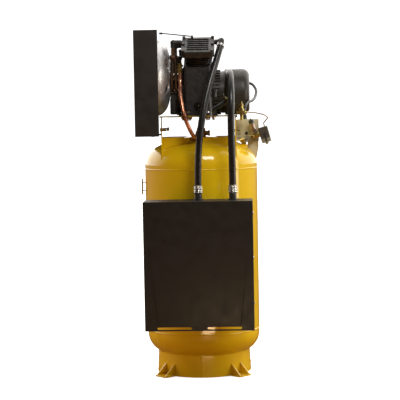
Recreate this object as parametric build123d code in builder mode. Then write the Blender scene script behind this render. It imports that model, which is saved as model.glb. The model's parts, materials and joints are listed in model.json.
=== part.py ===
from build123d import *
from math import atan2, cos, degrees, hypot, pi, radians, sin, sqrt, tan
import os

os.makedirs("parts", exist_ok=True)

# Two-stage, belt-driven air compressor on an upright tank.
# Frame: origin on the tank's axis at the floor, +Z up, +X along the crankshaft away from the flywheel,
# -Y towards the intake silencer box.  Millimetres.

# ---------------------------------------------------------------- driving dimensions
# Tank: 24 inch shell with 2:1 heads, each made of a wide crown arc and a tight knuckle arc
tank_r = 305.0
tank_wall = 5.0
head_depth = 152.5
knuckle_r = 105.4
shell_low = 210.5
shell_high = 1128.5
bung_r = 24.0
shoulder_bung_high = 6.5

# Base ring and feet
ring_height = 125.0
ring_top_r = 249.0
ring_foot_r = 256.0
ring_wall = 5.0
foot_reach = 324.0
foot_width = 90.0
foot_thick = 8.0
gusset_height = 72.0
anchor_pcd = 580.0
anchor_hole_r = 7.0

# Deck that carries the pump and the motor
deck_top = 1390.0
deck_thick = 7.0
deck_half = 198.0
deck_front = -335.0
deck_back = 400.0
leg_thick = 6.0
leg_half = 225.0

# Silencer box
box_half = 280.0
box_low = 292.0
box_high = 955.0
box_front = -505.0
box_back = -311.0
sheet = 2.5
slot_height = 12.0
slot_length = 176.0

# Pump: crank axis along X
crank_y = -150.0
crank_z = 1597.0
throw = 28.0
rod_length = 110.0
bank_tilt = 30.0
case_low_x = -72.0
case_high_x = 68.0
lp_x = 5.0
hp_x = -23.0
pin_low_x = -36.0
pin_high_x = 18.0
face_dist = 88.0
barrel_top = 162.0
plate_thick = 6.0
head_thick = 22.0

# Flywheel and belt drive
wheel_r = 206.0
wheel_pitch_r = 200.0
pulley_pitch_r = 80.0
rim_low_x = -306.0
belt_gap = 19.0
belt_width = 11.0

# Motor: axis along X
motor_y = 290.0
motor_z = 1520.0
motor_r = 126.0

# Belt guard
guard_low_x = -320.0
guard_near_x = -196.0
guard_far_x = -258.0
guard_front = -400.0
guard_back = 430.0
guard_low = 1286.0
guard_high = 1833.0
guard_wall = 2.5

# Hoses
hose_d = 35.0
breather_d = 36.0
cable_d = 15.0

running_gap = 0.05


# ---------------------------------------------------------------- helpers
def crank_plane(x):
    """Plane across the crank axis at x, facing +X; its own y is up."""
    return Plane(origin=(x, crank_y, crank_z), x_dir=(0, 1, 0), z_dir=(1, 0, 0))


def motor_plane(x):
    """Plane across the motor axis at x, facing +X; its own y is up."""
    return Plane(origin=(x, motor_y, motor_z), x_dir=(0, 1, 0), z_dir=(1, 0, 0))


def bank_plane(x, side, dist):
    """Plane across a cylinder's axis; side is -1 for the front bank and +1 for the rear one."""
    lean = Vector(0, side * sin(radians(bank_tilt)), cos(radians(bank_tilt)))
    centre = Vector(x, crank_y, crank_z) + lean * dist
    return Plane(origin=centre, x_dir=(1, 0, 0), z_dir=lean)


def disc(plane, radius, thick, mode=Mode.ADD):
    """Round disc that grows from the plane along its normal."""
    with BuildSketch(plane) as section:
        Circle(radius)
    extrude(section.sketch, amount=thick, mode=mode)


def hexagon(plane, across_flats, thick, mode=Mode.ADD):
    """Hexagonal head or nut that grows from the plane along its normal."""
    with BuildSketch(plane) as section:
        RegularPolygon(across_flats / 2, 6, major_radius=False)
    extrude(section.sketch, amount=thick, mode=mode)


def block(low, high, mode=Mode.ADD):
    """Box between two corners, square to the frame."""
    with BuildSketch(Plane.XY.offset(low[2])) as section:
        with Locations(((low[0] + high[0]) / 2, (low[1] + high[1]) / 2)):
            Rectangle(high[0] - low[0], high[1] - low[1])
    extrude(section.sketch, amount=high[2] - low[2], mode=mode)


def pipe(points, radii, outer_r, inner_r=0.0):
    """Round tube or bar along straight runs joined by tangent arcs."""
    with BuildLine() as route:
        if radii:
            FilletPolyline(*points, radius=radii)
        else:
            Line(points[0], points[1])
    wire = route.wire()
    start = Plane(origin=wire @ 0, z_dir=wire % 0)
    with BuildSketch(start) as section:
        Circle(outer_r)
        if inner_r:
            Circle(inner_r, mode=Mode.SUBTRACT)
    sweep(section.sketch, path=wire)
    return wire.length


def soft_radii(points):
    """Largest easy radius at each corner: 0.45 of the shorter run over the tangent of half the turn."""
    radii = []
    for before, at, after in zip(points, points[1:], points[2:]):
        first = Vector(at) - Vector(before)
        second = Vector(after) - Vector(at)
        half_turn = radians(first.get_angle(second)) / 2
        radii.append(0.45 * min(first.length, second.length) / tan(half_turn))
    return radii


def finish(piece, name):
    """Label a finished piece and write its file."""
    piece.part.label = name
    export_step(piece.part, f"parts/{name}.step")


def finish_group(name, *pieces):
    """Write several separate solids of one kind as one node, touching but not joined."""
    group = Compound(label=name, children=[piece.part for piece in pieces])
    export_step(group, f"parts/{name}.step")


# ---------------------------------------------------------------- tank
knuckle_out = tank_r - knuckle_r
crown_r = (knuckle_out**2 + head_depth**2 - knuckle_r**2) / (2 * (head_depth - knuckle_r))
crown_drop = crown_r - head_depth
crown_edge = atan2(crown_drop, knuckle_out)


def dome_z(x, y):
    """Height of the top head's outer surface above a point of the floor."""
    out = hypot(x, y)
    if out < crown_r * cos(crown_edge):
        return shell_high - crown_drop + sqrt(crown_r**2 - out**2)
    return shell_high + sqrt(knuckle_r**2 - (out - knuckle_out) ** 2)


def tank_profile(inset):
    """Half section of the vessel: shell, knuckles and crowns, all moved in by the inset."""
    edge = degrees(crown_edge)
    with BuildSketch(Plane.XZ) as section:
        with BuildLine():
            high_knuckle = CenterArc((knuckle_out, shell_high), knuckle_r - inset, 0, edge)
            high_crown = CenterArc((0, shell_high - crown_drop), crown_r - inset, edge, 90 - edge)
            low_crown = CenterArc((0, shell_low + crown_drop), crown_r - inset, -90, 90 - edge)
            low_knuckle = CenterArc((knuckle_out, shell_low), knuckle_r - inset, -edge, edge)
            Line(high_crown @ 1, low_crown @ 0)
            Line(low_knuckle @ 1, high_knuckle @ 0)
        make_face()
    return section.sketch


with BuildPart() as tank_form:
    add(tank_profile(0))
    revolve(axis=Axis.Z)
with BuildPart() as tank_hollow:
    add(tank_profile(tank_wall))
    revolve(axis=Axis.Z)

check_x, check_y = 8.0, -110.0
manifold_x, manifold_y = 236.0, -60.0
outlet_z = 900.0
inspect_z = 620.0

with BuildPart() as tank_shell:
    add(tank_form.part)
    disc(Plane.XY.offset(42), 20, 30)
    disc(Plane((check_x, check_y, dome_z(check_x, check_y) - 8)), bung_r, 14)
    shoulder_z = dome_z(manifold_x, manifold_y)
    disc(Plane((manifold_x, manifold_y, shoulder_z - 20)), bung_r - 4, 20 + shoulder_bung_high)
    disc(Plane((0, tank_r - 8, outlet_z), z_dir=(0, 1, 0)), bung_r, 16)
    disc(Plane((0, tank_r - 8, inspect_z), z_dir=(0, 1, 0)), bung_r, 16)
    add(tank_hollow.part, mode=Mode.SUBTRACT)
    disc(Plane.XY.offset(30), 10, 50, Mode.SUBTRACT)
    disc(Plane((check_x, check_y, dome_z(check_x, check_y) - 30)), 12, 60, Mode.SUBTRACT)
    disc(Plane((manifold_x, manifold_y, shoulder_z - 50)), 8, 90, Mode.SUBTRACT)
    disc(Plane((0, tank_r - 30, outlet_z), z_dir=(0, 1, 0)), 12, 60, Mode.SUBTRACT)
    disc(Plane((0, tank_r - 30, inspect_z), z_dir=(0, 1, 0)), 12, 60, Mode.SUBTRACT)
finish(tank_shell, "tank_shell")

with BuildPart() as inspection_plug:
    disc(Plane((0, tank_r - 8, inspect_z), z_dir=(0, 1, 0)), 12, 16)
    hexagon(Plane((0, tank_r + 8, inspect_z), z_dir=(0, 1, 0)), 30, 12)


# ---------------------------------------------------------------- base
def skirt(outer_low, outer_high, height, mode=Mode.ADD):
    """Solid frustum from the floor to a height."""
    with BuildSketch(Plane.XZ) as section:
        Polygon((0, 0), (outer_low, 0), (outer_high, height), (0, height), align=None)
    revolve(section.sketch, axis=Axis.Z, mode=mode)


with BuildPart() as base_ring:
    skirt(ring_foot_r, ring_top_r, ring_height)
    skirt(ring_foot_r - ring_wall, ring_top_r - ring_wall, ring_height, Mode.SUBTRACT)
    add(tank_form.part, mode=Mode.SUBTRACT)
    with BuildSketch(Plane.XZ.offset(-200)):
        with Locations((0, 30)):
            RectangleRounded(130, 60, 20)
    extrude(amount=-100, mode=Mode.SUBTRACT)
finish(base_ring, "base_ring")

with BuildPart() as base_feet:
    for angle in (45, 135, 225, 315):
        turned = Plane.XY.rotated((0, 0, angle))
        with BuildSketch(turned):
            with Locations(((240 + foot_reach) / 2, 0)):
                RectangleRounded(foot_reach - 240, foot_width, 12)
            with Locations((anchor_pcd / 2, 0)):
                Circle(anchor_hole_r, mode=Mode.SUBTRACT)
        extrude(amount=foot_thick)
        for side in (-1, 1):
            upright = Plane(turned.origin, x_dir=turned.x_dir, z_dir=-turned.y_dir)
            with BuildSketch(upright.offset(side * (foot_width / 2 - 12) - 3)):
                Polygon((240, foot_thick), (foot_reach - 8, foot_thick), (240, gusset_height), align=None)
            extrude(amount=6)
    skirt(ring_foot_r, ring_top_r, ring_height, Mode.SUBTRACT)
finish(base_feet, "base_feet")

# ---------------------------------------------------------------- deck
pump_bolts = [(x, y) for x in (-52.0, 48.0) for y in (crank_y - 112, crank_y + 112)]
motor_bolts = [(x, y) for x in (-105.0, 65.0) for y in (motor_y - 92, motor_y + 92)]
leg_x = deck_half - leg_thick / 2
bracket_bolts = [(y, 1318.0) for y in (-130.0, 130.0)]
starter_bolts = [(y, 1306.0) for y in (20.0, 80.0)]
notch_x, notch_width, notch_depth = -78.0, 56.0, 62.0

# Saddle plates that tie the legs together across the tank's dome
saddle_y = 180.0
saddle_thick = 6.0
saddle_top = 1276.0
saddle_notch_x = -18.0

with BuildPart() as deck:
    block((-deck_half, deck_front, deck_top - deck_thick), (deck_half, deck_back, deck_top))
    for side in (-1, 1):
        with BuildSketch(Plane.YZ.offset(side * leg_x - leg_thick / 2)):
            with Locations((0, (1150 + deck_top - deck_thick) / 2)):
                Rectangle(2 * leg_half, deck_top - deck_thick - 1150)
        extrude(amount=leg_thick)
    for side in (-1, 1):
        saddle_low = side * saddle_y - saddle_thick / 2
        block((-leg_x, saddle_low, 1150), (leg_x, saddle_low + saddle_thick, saddle_top))
    block(
        (saddle_notch_x - 35, -saddle_y - saddle_thick, saddle_top - 26),
        (saddle_notch_x + 35, -saddle_y + saddle_thick, saddle_top),
        Mode.SUBTRACT,
    )
    add(tank_form.part, mode=Mode.SUBTRACT)
    with BuildSketch(Plane.XY.offset(deck_top - deck_thick)):
        with Locations(*pump_bolts):
            Circle(6.2)
        with Locations(*motor_bolts):
            SlotOverall(20, 12.4, rotation=90)
        with Locations((notch_x, deck_front + notch_depth / 2)):
            Rectangle(notch_width, notch_depth)
    extrude(amount=deck_thick, mode=Mode.SUBTRACT)
    with BuildSketch(Plane.YZ.offset(-deck_half)):
        with Locations(*bracket_bolts):
            Circle(5.2)
    extrude(amount=leg_thick, mode=Mode.SUBTRACT)
    with BuildSketch(Plane.YZ.offset(deck_half - leg_thick)):
        with Locations(*starter_bolts):
            Circle(4.2)
    extrude(amount=leg_thick, mode=Mode.SUBTRACT)
finish(deck, "deck")

foot_top = deck_top + 14
with BuildPart() as deck_bolts:
    for x, y in pump_bolts + motor_bolts:
        disc(Plane((x, y, deck_top - 26)), 6.0, foot_top - deck_top + 26)
        hexagon(Plane((x, y, foot_top)), 18, 8)

with BuildPart() as deck_nuts:
    for x, y in pump_bolts + motor_bolts:
        hexagon(Plane((x, y, deck_top - deck_thick - 10)), 18, 10)
        disc(Plane((x, y, deck_top - deck_thick - 11)), 6.03, 12, Mode.SUBTRACT)

# Blank data plate on a bracket at the tank's left side
with BuildPart() as data_plate_bracket:
    block((-324, -40, 965), (-321.5, 40, 1052))
    for z in (985.0, 1028.0):
        block((-321.5, -4, z), (-300, 4, z + 4))
    add(tank_form.part, mode=Mode.SUBTRACT)

# ---------------------------------------------------------------- silencer box
stub_places = [(0.0, -400.0), (178.0, -400.0)]
shelf_z = 345.0
stub_r = 19.0

with BuildPart() as silencer_cover:
    block((-box_half, box_front, box_low), (box_half, box_back, box_high))
    block(
        (-box_half + sheet, box_front + sheet, box_low - 1),
        (box_half - sheet, box_back + 1, box_high - sheet),
        Mode.SUBTRACT,
    )
    with BuildSketch(Plane.XZ.offset(-box_front + 1)):
        with Locations((-128, box_low + 14), (128, box_low + 14)):
            SlotOverall(slot_length, slot_height)
    extrude(amount=-(sheet + 2), mode=Mode.SUBTRACT)
    with BuildSketch(Plane.XY.offset(box_high - sheet)):
        with Locations(*stub_places):
            Circle(stub_r + 0.3)
    extrude(amount=sheet, mode=Mode.SUBTRACT)
finish(silencer_cover, "silencer_cover")

with BuildPart() as silencer_back:
    block((-box_half + sheet + 0.3, box_back - 3, shelf_z), (box_half - sheet - 0.3, box_back, box_high - sheet - 0.3))
    for z in (420.0, 860.0):
        block((-30, box_back, z - 40), (30, -290, z + 40))
    add(tank_form.part, mode=Mode.SUBTRACT)

inner_half = box_half - sheet - 0.3
shelf_front = box_front + sheet + 0.3
shelf_back = box_back - 3.3
with BuildPart() as silencer_shelves:
    for z in (shelf_z, 560.0, 760.0):
        block((-inner_half, shelf_front, z), (inner_half, shelf_back, z + 3))
    block((-inner_half, shelf_front, shelf_z - 22), (inner_half, shelf_front + 3, shelf_z))
    with BuildSketch(Plane.XY.offset(shelf_z)):
        with Locations((-200, -410)):
            Circle(45)
    extrude(amount=3, mode=Mode.SUBTRACT)
    with BuildSketch(Plane.XY.offset(560)):
        with Locations((200, -410)):
            Circle(45)
    extrude(amount=3, mode=Mode.SUBTRACT)
    with BuildSketch(Plane.XY.offset(760)):
        with Locations(*stub_places):
            Circle(30)
    extrude(amount=3, mode=Mode.SUBTRACT)
finish_group("silencer_frame", silencer_back, silencer_shelves)

filter_low = 763.0
filter_high = 925.0
with BuildPart() as silencer_filters:
    for x, y in stub_places:
        disc(Plane((x, y, filter_low)), 62, filter_high - filter_low)
        disc(Plane((x, y, filter_low - 1)), 30, filter_high - filter_low + 2, Mode.SUBTRACT)
finish(silencer_filters, "silencer_filters")

with BuildPart() as silencer_screws:
    for side in (-1, 1):
        for z in (410.0, 650.0, 880.0):
            disc(Plane((side * box_half, -335, z), z_dir=(side, 0, 0)), 7, 2)
            disc(Plane((side * (box_half + 2), -335, z), z_dir=(side, 0, 0)), 4.5, 2.5)

stub_low = filter_high
stub_high = 990.0
hose_start = 1015.0
with BuildPart() as hose_stubs:
    for x, y in stub_places:
        disc(Plane((x, y, stub_low)), stub_r, stub_high - stub_low)
        disc(Plane((x, y, box_high)), stub_r + 7, 6)
        disc(Plane((x, y, stub_low - 1)), stub_r - 4, stub_high - stub_low + 2, Mode.SUBTRACT)
finish(hose_stubs, "hose_stubs")

with BuildPart() as hose_ferrules:
    for x, y in stub_places:
        disc(Plane((x, y, stub_high)), stub_r + 3, hose_start - stub_high)
        disc(Plane((x, y, stub_high + 9)), stub_r + 5, 8)
        disc(Plane((x, y, stub_high - 1)), 14, hose_start - stub_high + 2, Mode.SUBTRACT)
finish(hose_ferrules, "hose_ferrules")

# ---------------------------------------------------------------- pump block
bank_lean = radians(bank_tilt)


def bank_point(side, dist, along=0.0):
    """Point in the crank plane's (y, z), out along a bank and then across it."""
    return (
        crank_y + side * (dist * sin(bank_lean) + along * cos(bank_lean)),
        crank_z + dist * cos(bank_lean) - along * sin(bank_lean),
    )


def case_outline(inset):
    """Crankcase section: flat base, upright sides and a ridge made by the two cylinder faces."""
    face = face_dist - inset
    half = 96.0 - inset
    ridge = face / cos(bank_lean)
    shoulder = (face - half * sin(bank_lean)) / cos(bank_lean)
    low = deck_top + (14 if inset else 0)
    return [
        (crank_y - half, low),
        (crank_y + half, low),
        (crank_y + half, crank_z + shoulder),
        (crank_y, crank_z + ridge),
        (crank_y - half, crank_z + shoulder),
    ]


bearing_left_x = -56.0
with BuildPart() as crankcase:
    with BuildSketch(Plane.YZ.offset(case_low_x)):
        Polygon(*case_outline(0), align=None)
    extrude(amount=case_high_x - case_low_x)
    fillet(crankcase.edges().filter_by(Axis.Z), 14)
    block((case_low_x + 4, crank_y - 126, deck_top), (case_high_x - 4, crank_y + 126, foot_top))
    with BuildSketch(Plane.YZ.offset(bearing_left_x)):
        Polygon(*case_outline(12), align=None)
    extrude(amount=case_high_x - 12 - bearing_left_x, mode=Mode.SUBTRACT)
    disc(crank_plane(case_low_x - 1), 36, 40, Mode.SUBTRACT)
    disc(crank_plane(case_high_x - 13), 62, 14, Mode.SUBTRACT)
    disc(bank_plane(lp_x, -1, face_dist - 30), 44, 31, Mode.SUBTRACT)
    disc(bank_plane(hp_x, 1, face_dist - 30), 26, 31, Mode.SUBTRACT)
    with BuildSketch(Plane.XY.offset(deck_top)):
        with Locations(*pump_bolts):
            Circle(6.2)
    extrude(amount=14, mode=Mode.SUBTRACT)
    disc(Plane((-2, crank_y - 97, 1440), z_dir=(0, 1, 0)), 15, 14, Mode.SUBTRACT)
    disc(Plane((30, crank_y - 97, 1424), z_dir=(0, 1, 0)), 8, 14, Mode.SUBTRACT)
    disc(Plane((22, crank_y + 83, 1416), z_dir=(0, 1, 0)), 12, 14, Mode.SUBTRACT)
    block((-146, -214, 1480), (case_low_x + 2, -186, 1500))
    block((case_high_x - 2, -223, 1486), (case_high_x + 22, -207, 1500))
    disc(Plane((case_high_x + 18, -215, 1486)), 12, 26)
finish(crankcase, "crankcase")

with BuildPart() as oil_sight_glass:
    disc(Plane((-2, crank_y - 96, 1440), z_dir=(0, 1, 0)), 15, 10)
    disc(Plane((-2, crank_y - 102, 1440), z_dir=(0, 1, 0)), 19, 6)
finish(oil_sight_glass, "oil_sight_glass")

with BuildPart() as oil_drain_plug:
    disc(Plane((30, crank_y - 96, 1424), z_dir=(0, 1, 0)), 8, 12)
    hexagon(Plane((30, crank_y - 106, 1424), z_dir=(0, 1, 0)), 17, 10)
finish_group("pipe_plugs", inspection_plug, oil_drain_plug)

with BuildPart() as bearing_cover:
    disc(crank_plane(case_low_x - 8), 52, 8)
    disc(crank_plane(case_low_x - 30), 34, 24)
    disc(crank_plane(case_low_x - 31), 22, 32, Mode.SUBTRACT)
    with BuildSketch(crank_plane(case_low_x - 8)):
        with PolarLocations(45, 6):
            Circle(3.5)
    extrude(amount=8, mode=Mode.SUBTRACT)

with BuildPart() as bearing_cover_bolts:
    with BuildSketch(crank_plane(case_low_x - 8)):
        with PolarLocations(45, 6):
            Circle(3.5)
    extrude(amount=8)
    with BuildSketch(crank_plane(case_low_x - 13)):
        with PolarLocations(45, 6):
            RegularPolygon(5.5, 6, major_radius=False)
    extrude(amount=5)

with BuildPart() as rear_cover:
    disc(crank_plane(case_high_x), 76, 10)
    disc(crank_plane(case_high_x - 18), 40, 20)
    disc(crank_plane(case_high_x + 10), 34, 8)
    disc(crank_plane(case_high_x - 19), 31, 17, Mode.SUBTRACT)
    with BuildSketch(crank_plane(case_high_x + 10)):
        with PolarLocations(67, 8):
            RegularPolygon(5.5, 6, major_radius=False)
    extrude(amount=5)
finish_group("bearing_covers", bearing_cover, rear_cover)

with BuildPart() as crank_bearings:
    disc(crank_plane(case_low_x), 36, 16)
    disc(crank_plane(case_low_x - 1), 20 + running_gap, 18, Mode.SUBTRACT)
    disc(crank_plane(case_high_x - 18), 31, 16)
    disc(crank_plane(case_high_x - 19), 15 + running_gap, 18, Mode.SUBTRACT)


def fin_reach(low, high, dist):
    """Cylinder fins widen evenly from the crankcase to the head."""
    return low + (high - low) * (dist - 93) / (149 - 93)


head_corner = 20.0
stud_inset = 10.0


def stud_places(half):
    """Three studs along each side of a square head."""
    reach = half - stud_inset
    return [(side * reach, row * reach) for side in (-1, 1) for row in (-1, 0, 1)]


def square_slab(plane, half, thick):
    """Square slab with round corners that grows from the plane along its normal."""
    with BuildSketch(plane) as section:
        RectangleRounded(2 * half, 2 * half, head_corner)
    extrude(section.sketch, amount=thick)


def stud_holes(plane, half, depth):
    """Stud holes through a slab, from the plane along its normal."""
    with BuildSketch(plane) as section:
        with Locations(*stud_places(half)):
            Circle(4.6)
    extrude(section.sketch, amount=depth, mode=Mode.SUBTRACT)


def make_barrel(x, side, bore_r, core_r, fin_along, fin_across, flange_half):
    """Finned cylinder that stands on the crankcase's sloping face, its oval fins wider along the crank."""
    with BuildPart() as barrel:
        disc(bank_plane(x, side, face_dist), core_r, barrel_top - face_dist)
        for fin in range(5):
            dist = 93 + 14 * fin
            with BuildSketch(bank_plane(x, side, dist)):
                Ellipse(fin_reach(*fin_across, dist), fin_reach(*fin_along, dist))
            extrude(amount=4)
        square_slab(bank_plane(x, side, barrel_top - 6), flange_half, 6)
        disc(bank_plane(x, side, face_dist - 1), bore_r, barrel_top - face_dist + 2, Mode.SUBTRACT)
        stud_holes(bank_plane(x, side, barrel_top - 6), flange_half, 6)
    return barrel


def make_plate(x, side, half):
    """Valve plate with its stud holes and two rows of port holes."""
    with BuildPart() as plate:
        square_slab(bank_plane(x, side, barrel_top), half, plate_thick)
        stud_holes(bank_plane(x, side, barrel_top), half, plate_thick)
        with BuildSketch(bank_plane(x, side, barrel_top)):
            with Locations((half * 0.28, 0), (-half * 0.28, 0)):
                with PolarLocations(half * 0.14, 4):
                    Circle(half * 0.06)
        extrude(amount=plate_thick, mode=Mode.SUBTRACT)
    return plate


head_base = barrel_top + plate_thick


def make_head(x, side, half, ports):
    """Cylinder head: inlet and outlet chambers, cooling ribs and a boss for each (way, shift) port."""
    with BuildPart() as head:
        square_slab(bank_plane(x, side, head_base), half, head_thick)
        head_top = bank_plane(x, side, head_base + head_thick)
        fillet(head.faces().sort_by(Axis(head_top.origin, head_top.z_dir))[-1].edges(), 5)
        with BuildSketch(bank_plane(x, side, head_base)):
            with GridLocations(0, half * 0.26, 1, 6):
                Rectangle(half * 1.3, 4)
        extrude(amount=head_thick + 5)
        for way, shift in ports:
            port_y, port_z = bank_point(side, head_base + 11, shift)
            start = (x + way * (half - 14), port_y, port_z)
            disc(Plane(start, z_dir=(way, 0, 0)), 11, 18)
        with BuildSketch(bank_plane(x, side, head_base)):
            with Locations((half * 0.34, 0), (-half * 0.34, 0)):
                RectangleRounded(half * 0.6, half * 1.0, half * 0.15)
        extrude(amount=15, mode=Mode.SUBTRACT)
        for way, shift in ports:
            port_y, port_z = bank_point(side, head_base + 11, shift)
            start = (x + way * half * 0.5, port_y, port_z)
            disc(Plane(start, z_dir=(way, 0, 0)), 6, half * 0.5 + 5, Mode.SUBTRACT)
        stud_holes(bank_plane(x, side, head_base), half, head_thick + 6)
    return head


lp_half, hp_half = 86.0, 60.0
lp_port_shift, hp_port_shift = 45.0, 28.0
lp_cylinder = make_barrel(lp_x, -1, 44, 50, (58, 80), (72, 83), lp_half)
hp_cylinder = make_barrel(hp_x, 1, 25, 32, (44, 58), (48, 58), hp_half)
finish_group("cylinders", lp_cylinder, hp_cylinder)
lp_valve_plate = make_plate(lp_x, -1, lp_half)
hp_valve_plate = make_plate(hp_x, 1, hp_half)
finish_group("valve_plates", lp_valve_plate, hp_valve_plate)
lp_head = make_head(lp_x, -1, lp_half, [(-1, -lp_port_shift), (1, -lp_port_shift)])
hp_head = make_head(hp_x, 1, hp_half, [(-1, -hp_port_shift), (-1, hp_port_shift)])
finish_group("cylinder_heads", lp_head, hp_head)

with BuildPart() as head_bolts:
    for x, side, half in ((lp_x, -1, lp_half), (hp_x, 1, hp_half)):
        with BuildSketch(bank_plane(x, side, barrel_top - 6)):
            with Locations(*stud_places(half)):
                Circle(4.5)
        extrude(amount=head_base + head_thick - barrel_top + 6)
        with BuildSketch(bank_plane(x, side, head_base + head_thick)):
            with Locations(*stud_places(half)):
                RegularPolygon(7.5, 6, major_radius=False)
        extrude(amount=8)
finish_group("pump_bolts", head_bolts, bearing_cover_bolts)

# ---------------------------------------------------------------- crank train
with BuildPart() as crankshaft:
    disc(crank_plane(-296), 19, 8)
    disc(crank_plane(-290), 20, pin_low_x - 12 + 290)
    disc(crank_plane(pin_high_x + 12), 15, case_high_x - 4 - pin_high_x - 12)
    for low in (pin_low_x - 12, pin_high_x):
        with BuildSketch(crank_plane(low)):
            Circle(26)
            with Locations((0, throw)):
                Circle(20)
            Rectangle(40, 2 * throw, align=(Align.CENTER, Align.CENTER))
            with BuildLine():
                Line((-26, 0), (-52, -24))
                ThreePointArc((-52, -24), (0, -58), (52, -24))
                Line((52, -24), (26, 0))
                Line((26, 0), (-26, 0))
            make_face()
        extrude(amount=12)
    with BuildSketch(crank_plane(pin_low_x)):
        with Locations((0, throw)):
            Circle(14)
    extrude(amount=pin_high_x - pin_low_x)
finish(crankshaft, "crankshaft")

pin_dist = throw * cos(bank_lean) + sqrt(rod_length**2 - (throw * sin(bank_lean)) ** 2)


def rod_section(side, x, width):
    """Connecting rod between the crankpin and a wrist pin, as wide as its big end."""
    eye_y, eye_z = bank_point(side, pin_dist)
    eye = (eye_y - crank_y, eye_z - crank_z)
    turn = degrees(atan2(eye[1] - throw, eye[0]))
    with BuildSketch(crank_plane(x - width / 2)) as section:
        with Locations((0, throw)):
            Circle(23)
        with Locations(eye):
            Circle(13)
        with Locations(Location((eye[0] / 2, (eye[1] + throw) / 2, 0), (0, 0, turn))):
            Rectangle(rod_length, 16)
        with Locations((0, throw)):
            Circle(14 + running_gap, mode=Mode.SUBTRACT)
        with Locations(eye):
            Circle(8 + running_gap, mode=Mode.SUBTRACT)
    extrude(section.sketch, amount=width)


with BuildPart() as connecting_rods:
    rod_section(-1, lp_x, 22)
    rod_section(1, hp_x, 22)
finish(connecting_rods, "connecting_rods")

with BuildPart() as pistons:
    for x, side, radius in ((lp_x, -1, 44 - running_gap), (hp_x, 1, 25 - running_gap)):
        disc(bank_plane(x, side, pin_dist + 15), radius, 8)
        for way in (-1, 1):
            wall = bank_plane(x, side, pin_dist - 16)
            with BuildSketch(wall):
                Circle(radius)
                Rectangle(26, 3 * radius, mode=Mode.SUBTRACT)
            extrude(amount=31)
        eye_y, eye_z = bank_point(side, pin_dist)
        disc(Plane((x - 14, eye_y, eye_z), z_dir=(1, 0, 0)), 8, 28)
finish(pistons, "pistons")

# ---------------------------------------------------------------- flywheel and belts
belt_xs = [rim_low_x + 12.5 + belt_gap * i for i in range(2)]


def axial_plane(y, z):
    """Plane through an axis that runs along X: local x is the frame's X and local y is the radius."""
    return Plane(origin=(0, y, z), x_dir=(1, 0, 0), z_dir=(0, -1, 0))


def axial_ring(y, z, outline):
    """Solid of revolution about an axis along X from an outline of (x, radius) points."""
    with BuildSketch(axial_plane(y, z)) as section:
        Polygon(*outline, align=None)
    revolve(section.sketch, axis=Axis((0, y, z), (1, 0, 0)))


def sheave_outline(low_x, high_x, outer_r, inner_r, pitch_r):
    """Rim section with a tapered groove for each belt."""
    points = [(low_x, inner_r), (low_x, outer_r)]
    for x in belt_xs:
        points += [(x - 7.5, outer_r), (x - 6.2, pitch_r - 6.5), (x + 6.2, pitch_r - 6.5), (x + 7.5, outer_r)]
    return points + [(high_x, outer_r), (high_x, inner_r)]


with BuildPart() as flywheel:
    axial_ring(crank_y, crank_z, sheave_outline(rim_low_x, -258, wheel_r, 184, wheel_pitch_r))
    with BuildSketch(axial_plane(crank_y, crank_z)):
        with BuildLine():
            Polyline((-258, 184), (-258, wheel_r), (-209, 203))
            Spline((-209, 203), (-176, 176), (-160, 143), (-152, 95), (-150, 50))
            Polyline((-150, 50), (-157, 50), (-160, 95), (-169, 140), (-184, 170), (-212, 190), (-250, 184), (-258, 184))
        make_face()
    revolve(axis=Axis((0, crank_y, crank_z), (1, 0, 0)))
    disc(crank_plane(-290), 36, 146)
    disc(crank_plane(-157), 52, 7)
    disc(crank_plane(-291), 20, 150, Mode.SUBTRACT)
    with BuildSketch(crank_plane(-300)):
        with PolarLocations(118, 6, start_angle=90):
            RectangleRounded(88, 46, 20)
    extrude(amount=180, mode=Mode.SUBTRACT)
with BuildPart() as flywheel_bolt:
    disc(crank_plane(-300), 28, 4)
    hexagon(crank_plane(-312), 24, 12)
finish_group("flywheel", flywheel, flywheel_bolt)

with BuildPart() as motor_pulley:
    axial_ring(motor_y, motor_z, sheave_outline(rim_low_x, -258, pulley_pitch_r + 6, 19, pulley_pitch_r))
    disc(motor_plane(-258), 34, 22)
    disc(motor_plane(-307), 14, 80, Mode.SUBTRACT)
finish(motor_pulley, "motor_pulley")


def belt_loop(radius_shift, x, mode):
    """Outline of an open belt round both sheaves, moved in or out from the pitch line."""
    with BuildSketch(Plane.YZ.offset(x - belt_width / 2)) as section:
        with Locations((crank_y, crank_z)):
            Circle(wheel_pitch_r + radius_shift)
        with Locations((motor_y, motor_z)):
            Circle(pulley_pitch_r + radius_shift)
        make_hull()
    extrude(section.sketch, amount=belt_width, mode=mode)


with BuildPart() as v_belts:
    for x in belt_xs:
        belt_loop(4.5, x, Mode.ADD)
    for x in belt_xs:
        belt_loop(-4.0, x, Mode.SUBTRACT)
finish(v_belts, "v_belts")

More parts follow.
